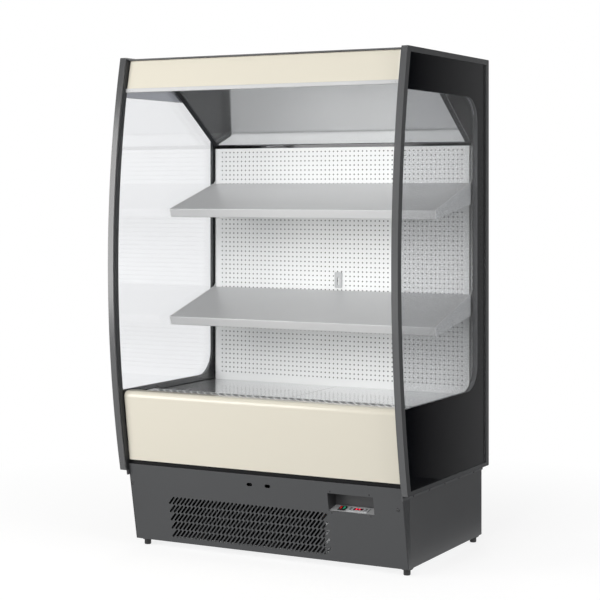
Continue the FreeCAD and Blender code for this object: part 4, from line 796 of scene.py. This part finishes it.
back_leg = block((grille_low.x, grille_high.y - grille_sheet, seat_z),
                 (grille_high.x, grille_high.y, leg_top))
points, faces = joined([top, front_leg, back_leg])
# Painted shade: everything below the top face is near black.
shade_below_top = ("Object", "Z", "<", grille_high.z - 0.0003)
many_coloured("grille_white_and_shade", 0.33, enamel_white, ((0.014, 0.014, 0.015), shade_below_top))
grille = mesh_piece("air_return_grille", points, faces, finish["grille_white_and_shade"],
                    body="return_grille")
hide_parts("return_grille")
print("grille rows:", grille_rows, "of", count, "and", count - 1, "ovals in turn")

# %% [markdown]
# ## Screws
# Small pan-head screws hold the plinth, the pocket and the strips. A round form is drawn as a short
# list of rings, spun about its own axis and then turned to the face that it sits on.

# %% round forms
def turn_up_to(normal):
    """The rotation that takes straight up to the normal."""
    return Vector((0, 0, 1)).rotation_difference(Vector(normal)).to_matrix()


def turned_form(profile, segments, centre, normal):
    """A round form: (radius, height) pairs spun about the normal through centre."""
    turn = turn_up_to(normal)
    points = []
    faces = []
    for radius, height in profile:
        for k in range(segments):
            angle = 2 * math.pi * k / segments
            spot = Vector((radius * math.cos(angle), radius * math.sin(angle), height))
            points.append(turn @ spot + Vector(centre))
    for ring in range(len(profile) - 1):
        for k in range(segments):
            a = ring * segments + k
            b = ring * segments + (k + 1) % segments
            faces.append((a, b, b + segments, a + segments))
    faces.append(tuple(range(segments))[::-1])
    faces.append(tuple(range((len(profile) - 1) * segments, len(profile) * segments)))
    return points, faces


print("round forms ready")

# %% [markdown]
# The head is such a round form, and the cross on it is two thin dark bars that stand just proud of
# the dome: painted shade, for the shade inside a cut cross. Cutting a real cross would cost many
# faces and show no better at this size.

# %% screw recipe
def screw(name, centre, normal, radius, material):
    """A pan-head screw whose underside lies at centre."""
    height = radius * 0.45
    cross_foot = height * 0.8
    cross_top = height * 1.02
    profile = [(radius, 0.0), (radius, height * 0.35), (radius * 0.86, height * 0.8),
               (radius * 0.5, height), (radius * 0.02, height)]
    points, faces = turned_form(profile, 20, centre, normal)
    head = mesh_piece(name, points, faces, material, smooth=True)
    turn = turn_up_to(normal)
    arm_length = radius * 0.42
    arm_width = radius * 0.09
    arms = []
    for long_x, long_y in ((arm_length, arm_width), (arm_width, arm_length)):
        points, faces = block((-long_x, -long_y, cross_foot), (long_x, long_y, cross_top))
        arms.append(([turn @ Vector(p) + Vector(centre) for p in points], faces))
    points, faces = joined(arms)
    cross = mesh_piece(name + "_cross_shade", points, faces, finish["strip_black"])


print("screw recipe ready")

# %% [markdown]
# The kick panel leans back towards its foot, so its screws are placed by x and height on the
# sloping face. The two large ones fix the sheet, and the four small ones the control pocket.

# %% kick panel screws
sides = ((1, "right"), (-1, "left"))
chord = -0.3185
kick_top_depth = 0.014
kick_top_z = 0.302
kick_lean = math.atan2(0.053, 0.276)
kick_out = (0.0, -math.cos(kick_lean), -math.sin(kick_lean))


def kick_face(x, z):
    """Point on the outer face of the kick panel at that x and height."""
    return (x, chord + kick_top_depth + (kick_top_z - z) * math.tan(kick_lean), z)


kick_screws = [(0.515, 0.228, 0.0062), (-0.529, 0.230, 0.0055),
               (0.267, 0.2685, 0.003), (0.4137, 0.2697, 0.003),
               (0.268, 0.1958, 0.003), (0.414, 0.1968, 0.003)]
for number, (x, z, radius) in enumerate(kick_screws):
    screw(f"kick_screw_{number}", kick_face(x, z), kick_out, radius, finish["screw_dark"])
print("kick panel screws:", len(kick_screws))

# %% [markdown]
# At each end the kick panel meets the side of the plinth. The joint shows as a thin dark line, the
# shade in the gap, which is drawn as a narrow dark strip that stands a fifth of a millimetre proud
# of the sheet: painted shade.

# %% kick panel seams
seam_inset = 0.0014
seam_half = 0.0013
seam_foot = 0.027
seam_head = 0.301
seam_proud = 0.0002
seam_corners = [(-seam_half, seam_foot), (seam_half, seam_foot),
                (seam_half, seam_head), (-seam_half, seam_head)]
box_faces = block((0, 0, 0), (1, 1, 1))[1]
for side, label in sides:
    seam_x = side * (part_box("kick_panel")[1].x - seam_inset)
    seam_points = [Vector(kick_face(seam_x + dx, z)) + Vector(kick_out) * out
                   for out in (0.0, seam_proud) for dx, z in seam_corners]
    seam = mesh_piece(f"kick_seam_shade_{label}", seam_points, box_faces, finish["strip_black"])
print("seams placed")

# %% [markdown]
# Each side strip shows one row of five screws below the side frame, and the aluminium trim under
# the header has two at each end.

# %% strip and trim screws
strip_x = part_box("side_strips")[1].x
strip_screw_z = 0.2654
for number, depth_set in enumerate((0.095, 0.228, 0.361, 0.486, 0.624)):
    for side, label in sides:
        centre = (side * strip_x, chord + depth_set, strip_screw_z)
        screw(f"strip_screw_{label}_{number}", centre, (side, 0, 0), 0.0032, finish["strip_black"])

trim_low, trim_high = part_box("header_trim")
for number, x in enumerate((-0.520, -0.508, 0.508, 0.520)):
    centre = (x, trim_low.y, (trim_low.z + trim_high.z) / 2)
    screw(f"trim_screw_{number}", centre, (0, -1, 0), 0.0024, finish["screw_steel"])
print("screws placed")

# %% [markdown]
# ## Window rims and gaskets
# A printed border follows the rear of each side window, round its two corners. Seen at a slant, it
# makes the rim look as deep as the whole side. It is a very thin closed band on each face of the
# core.

# %% window rims
window_rear = 0.2935
window_top = 1.610
window_base = 0.566
corner = 0.090
corner_steps = 16
rim_sheet = 0.00006
rim_stand = 0.0002


def window_outline(steps):
    """(y, z) points down the rear of the side window, corners included."""
    outline = []
    for k in range(steps + 1):
        angle = math.pi / 2 * (1 - k / steps)
        outline.append((window_rear - corner + corner * math.cos(angle),
                        window_top - corner + corner * math.sin(angle)))
    for k in range(steps + 1):
        angle = -math.pi / 2 * k / steps
        outline.append((window_rear - corner + corner * math.cos(angle),
                        window_base + corner + corner * math.sin(angle)))
    return outline


def rim_band(side, x, shift):
    """A thin closed band along the outline, at x and as wide as the shift."""
    outline = window_outline(corner_steps)
    count = len(outline)
    points = []
    for away, across in ((0.0, 0.0), (0.0, shift), (rim_sheet, shift), (rim_sheet, 0.0)):
        points += [(side * (x + away), y + across, z) for y, z in outline]
    faces = []
    for row in range(4):
        this_row, next_row = row * count, (row + 1) % 4 * count
        faces += [(this_row + k, this_row + k + 1, next_row + k + 1, next_row + k)
                  for k in range(count - 1)]
    faces.append(tuple(row * count for row in range(4)))
    faces.append(tuple(row * count + count - 1 for row in (3, 2, 1, 0)))
    return points, faces


print("rim points:", 4 * len(window_outline(corner_steps)))

# %% [markdown]
# The rim lies a fifth of a millimetre outward from each face of the core, narrow on the outer face
# and wider on the inner one. A black gasket line, a long thin box on the outside, closes the glass
# against the rear member of the frame.

# %% rims and gaskets
rim_bands = (("inner", core_low.x, -0.0125), ("outer", core_high.x, 0.0065))
gasket_low = (0.5614, 0.3668, 0.294)
gasket_high = (0.5622, 0.3722, 1.732)
for side, label in sides:
    for name, x, shift in rim_bands:
        points, faces = rim_band(side, x + rim_stand, shift)
        rim = mesh_piece(f"window_rim_{label}_{name}", points, faces, finish["rim_grey"])
    near_x, far_x = sorted((side * gasket_low[0], side * gasket_high[0]))
    points, faces = block((near_x, *gasket_low[1:]), (far_x, *gasket_high[1:]))
    gasket = mesh_piece(f"gasket_{label}", points, faces, finish["strip_black"])
print("rims and gaskets placed")

# %% [markdown]
# ## Control pocket
# The thermostat shows a temperature in red seven-segment figures, with two small keys on each side.
# It lies on the sloping floor, so the figures are drawn flat and then tipped by the floor's angle.

# %% display figures
floor_lean = math.radians(12.0)
display_low, display_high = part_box("thermostat_display")
display_height = 0.015
display_centre = (display_low + display_high) / 2
across = Vector((1, 0, 0))
upslope = Vector((0, math.cos(floor_lean), math.sin(floor_lean)))
outward = across.cross(upslope)
segments_of = {"3": "abgcd", "5": "afgcd"}
figure_height = 0.0088
figure_stroke = 0.0014
figure_lift = 0.0002


def figure(character, x):
    """Seven-segment figure drawn with small bars in (x, y)."""
    half_width = figure_height * 0.26
    half = figure_height / 2
    bars = {"a": (x, half, True), "g": (x, 0.0, True), "d": (x, -half, True),
            "f": (x - half_width, half / 2, False), "b": (x + half_width, half / 2, False),
            "e": (x - half_width, -half / 2, False), "c": (x + half_width, -half / 2, False)}
    parts = []
    for letter in segments_of[character]:
        bx, by, level = bars[letter]
        wide = half_width if level else figure_stroke / 2
        tall = figure_stroke / 2 if level else half / 2
        parts.append(block((bx - wide, by - tall, 0.0), (bx + wide, by + tall, figure_lift)))
    return parts


tilted_height = display_high.z - display_low.z - display_height * math.sin(floor_lean)
half_thick = tilted_height / math.cos(floor_lean) / 2
glass_top = display_centre + outward * half_thick
decimal_point = block((-0.0022, -0.0052, 0.0), (-0.0008, -0.0038, figure_lift))
parts = figure("3", -0.0075) + figure("5", 0.0045) + [decimal_point]
points, faces = placed(joined(parts), glass_top, across, upslope)
figures = mesh_piece("display_figures", points, faces, finish["digit_red"])
print("display at", tuple(round(v, 4) for v in glass_top))

# %% [markdown]
# ## Floor and light
# The floor is a plain matt sheet that takes the soft shadow. A part of its brightness is its own
# colour under the lamps and the rest is a glow that only the camera, mirrors and glass see, so that
# it reads as white paper without throwing more light on the cabinet. Far from the cabinet the glow
# takes over, and the floor runs into the white world with no horizon line.

# %% floor
def seen_ray(tree):
    """1 for rays of the camera, of mirrors and of glass, and 0 for those that carry light."""
    path = tree.nodes.new("ShaderNodeLightPath")
    first = maths(tree, "MAXIMUM", path.outputs["Is Camera Ray"], path.outputs["Is Glossy Ray"])
    return maths(tree, "MAXIMUM", first, path.outputs["Is Transmission Ray"])


floor_reach = 30
floor_corners = [(-floor_reach, -floor_reach, 0), (floor_reach, -floor_reach, 0),
                 (floor_reach, floor_reach, 0), (-floor_reach, floor_reach, 0)]
floor_mesh = bpy.data.meshes.new("studio_floor")
floor_mesh.from_pydata(floor_corners, [], [(0, 1, 2, 3)])
studio_floor = bpy.data.objects.new("studio_floor", floor_mesh)
scene.collection.objects.link(studio_floor)
material, tree, shader = bare_material("studio_floor")
floor_mesh.materials.append(material)
shader.inputs["Base Color"].default_value = (0.32, 0.32, 0.32, 1.0)
shader.inputs["Roughness"].default_value = 0.9
shader.inputs["Specular IOR Level"].default_value = 0.0
shader.inputs["Emission Color"].default_value = (1.0, 1.0, 1.0, 1.0)
seen = seen_ray(tree)
near_glow = maths(tree, "MULTIPLY", seen, 0.75)
tree.links.new(near_glow, shader.inputs["Emission Strength"])
reach = tree.nodes.new("ShaderNodeVectorMath")
reach.operation = "LENGTH"
tree.links.new(added(tree, "ShaderNodeNewGeometry").outputs["Position"], reach.inputs[0])
fade = added(tree, "ShaderNodeMapRange", From_Min=0.9, From_Max=2.2)
tree.links.new(reach.outputs["Value"], fade.inputs["Value"])
far_seen = maths(tree, "MULTIPLY", fade.outputs["Result"], seen)
white_glow = added(tree, "ShaderNodeEmission")
surface = blended(tree, far_seen, shader.outputs[0], white_glow.outputs[0])
tree.links.new(surface, tree.nodes["Material Output"].inputs["Surface"])
studio_floor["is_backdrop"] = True
print("floor ready")

# %% [markdown]
# The world round the floor is white behind the cabinet, where the camera and the glass look. In
# front of it, where a real studio is dim, mirrors and metal see a soft grey, which gives rounded
# edges and polished sheet their darker side. Light Path tells the rays apart.

# %% world
world = bpy.data.worlds.new("studio_world")
scene.world = world
world.use_nodes = True
tree = world.node_tree
tree.nodes.clear()
output = tree.nodes.new("ShaderNodeOutputWorld")
ambient = added(tree, "ShaderNodeBackground", Color=(1.0, 1.0, 1.0, 1.0), Strength=0.27)
white = added(tree, "ShaderNodeBackground", Color=(1.0, 1.0, 1.0, 1.0))
direction = added(tree, "ShaderNodeTexCoord").outputs["Generated"]
front_fade = added(tree, "ShaderNodeMapRange", From_Min=-0.25, From_Max=0.25, To_Min=0.25)
front_fade.interpolation_type = "SMOOTHSTEP"
tree.links.new(part_of(tree, direction, "Y"), front_fade.inputs["Value"])
path = tree.nodes.new("ShaderNodeLightPath")
whiteness = maths(tree, "MAXIMUM", path.outputs["Is Camera Ray"], front_fade.outputs["Result"])
tree.links.new(whiteness, white.inputs["Strength"])
surface = blended(tree, seen_ray(tree), ambient.outputs[0], white.outputs[0])
tree.links.new(surface, output.inputs["Surface"])
print("world ready")

# %% [markdown]
# Soft light comes from the front left, from high in front, which reaches deep into the open bays,
# from beside the camera, and from the right through the glass, which lights the ends of the
# shelves. A weak lamp behind keeps the back of the cabinet readable. The powers are set so that a
# face turned to the front gets about one unit: its colour then renders as it is written.

# %% lamps
def soft_lamp(name, place, target, size, power, colour=(1.0, 1.0, 1.0)):
    """A square soft box at place that looks at target."""
    data = bpy.data.lights.new(name, "AREA")
    data.shape = "SQUARE"
    data.size = size
    data.energy = power
    data.color = colour
    lamp = bpy.data.objects.new(name, data)
    scene.collection.objects.link(lamp)
    lamp.location = place
    lamp.rotation_euler = (Vector(target) - Vector(place)).to_track_quat("-Z", "Y").to_euler()
    lamp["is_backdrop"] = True


warm = (1.0, 0.985, 0.96)
cool = (0.97, 0.985, 1.0)
soft_lamp("key_light", (-2.4, -3.2, 1.4), (0.0, 0.0, 0.95), 2.2, 74.0, warm)
soft_lamp("high_light", (0.2, -5.6, 3.6), (0.0, 0.0, 0.8), 2.6, 140.0)
soft_lamp("fill_light", (0.9, -5.8, 0.9), (0.0, 0.0, 0.7), 2.0, 40.0, cool)
soft_lamp("side_light", (4.2, -0.9, 1.5), (0.0, 0.0, 0.9), 2.4, 78.0)
soft_lamp("back_light", (-1.0, 4.6, 2.4), (0.0, 0.0, 0.9), 2.4, 55.0)
print("lamps ready")

# %% [markdown]
# Glass and polished steel show whatever stands around them, and a studio hangs dark cloths to shape
# that. Three such cloths are set beside the cabinet. Only mirrors and glass see them: one behind
# and one on the floor deepen the black of the right-hand glass towards the front, and the third
# gives the canopy mirror its dark corner on the left.

# %% dark cloths
def dark_cloth(name, corners, start, end, axis, low, high):
    """A flat cloth seen in reflections only, its grey running from low to high along one axis."""
    mesh = bpy.data.meshes.new(name)
    mesh.from_pydata(corners, [], [(0, 1, 2, 3)])
    cloth = bpy.data.objects.new(name, mesh)
    scene.collection.objects.link(cloth)
    material, tree, shader = bare_material(name)
    tree.nodes.remove(shader)
    place = added(tree, "ShaderNodeNewGeometry").outputs["Position"]
    run = added(tree, "ShaderNodeMapRange", From_Min=start, From_Max=end, To_Min=low, To_Max=high)
    tree.links.new(part_of(tree, place, axis), run.inputs["Value"])
    glow = tree.nodes.new("ShaderNodeEmission")
    tree.links.new(run.outputs["Result"], glow.inputs["Strength"])
    tree.links.new(glow.outputs[0], tree.nodes["Material Output"].inputs["Surface"])
    mesh.materials.append(material)
    cloth.visible_camera = False
    cloth.visible_diffuse = False
    cloth.visible_shadow = False
    cloth.visible_transmission = False
    cloth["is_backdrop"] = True


dark_cloth("cloth_right", [(0.85, 1.5, 0.0), (1.9, 1.5, 0.0), (1.9, 1.5, 2.6), (0.85, 1.5, 2.6)],
           0.9, 1.36, "X", 0.17, 0.0)
dark_cloth("cloth_low",
           [(0.62, -0.45, 0.001), (2.4, -0.45, 0.001), (2.4, 1.5, 0.001), (0.62, 1.5, 0.001)],
           0.62, 1.36, "X", 0.06, 0.0)
dark_cloth("cloth_left",
           [(-0.70, -0.4, 0.0), (-0.70, 0.9, 0.0), (-0.70, 0.9, 1.7), (-0.70, -0.4, 1.7)],
           0.0, 1.7, "Z", 0.01, 0.01)
print("cloths hung")

# %% finish
visual_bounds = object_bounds()


def plain(value):
    """Vectors and tuples as plain lists of numbers."""
    if isinstance(value, dict):
        return {key: plain(item) for key, item in value.items()}
    if hasattr(value, "__len__") and not isinstance(value, str):
        return [plain(item) for item in value]
    return float(value)


{"cad": plain(cad_bounds), "visual": plain(visual_bounds)}
print("solids' box:", plain(cad_bounds))
print("dressed box:", plain(visual_bounds))
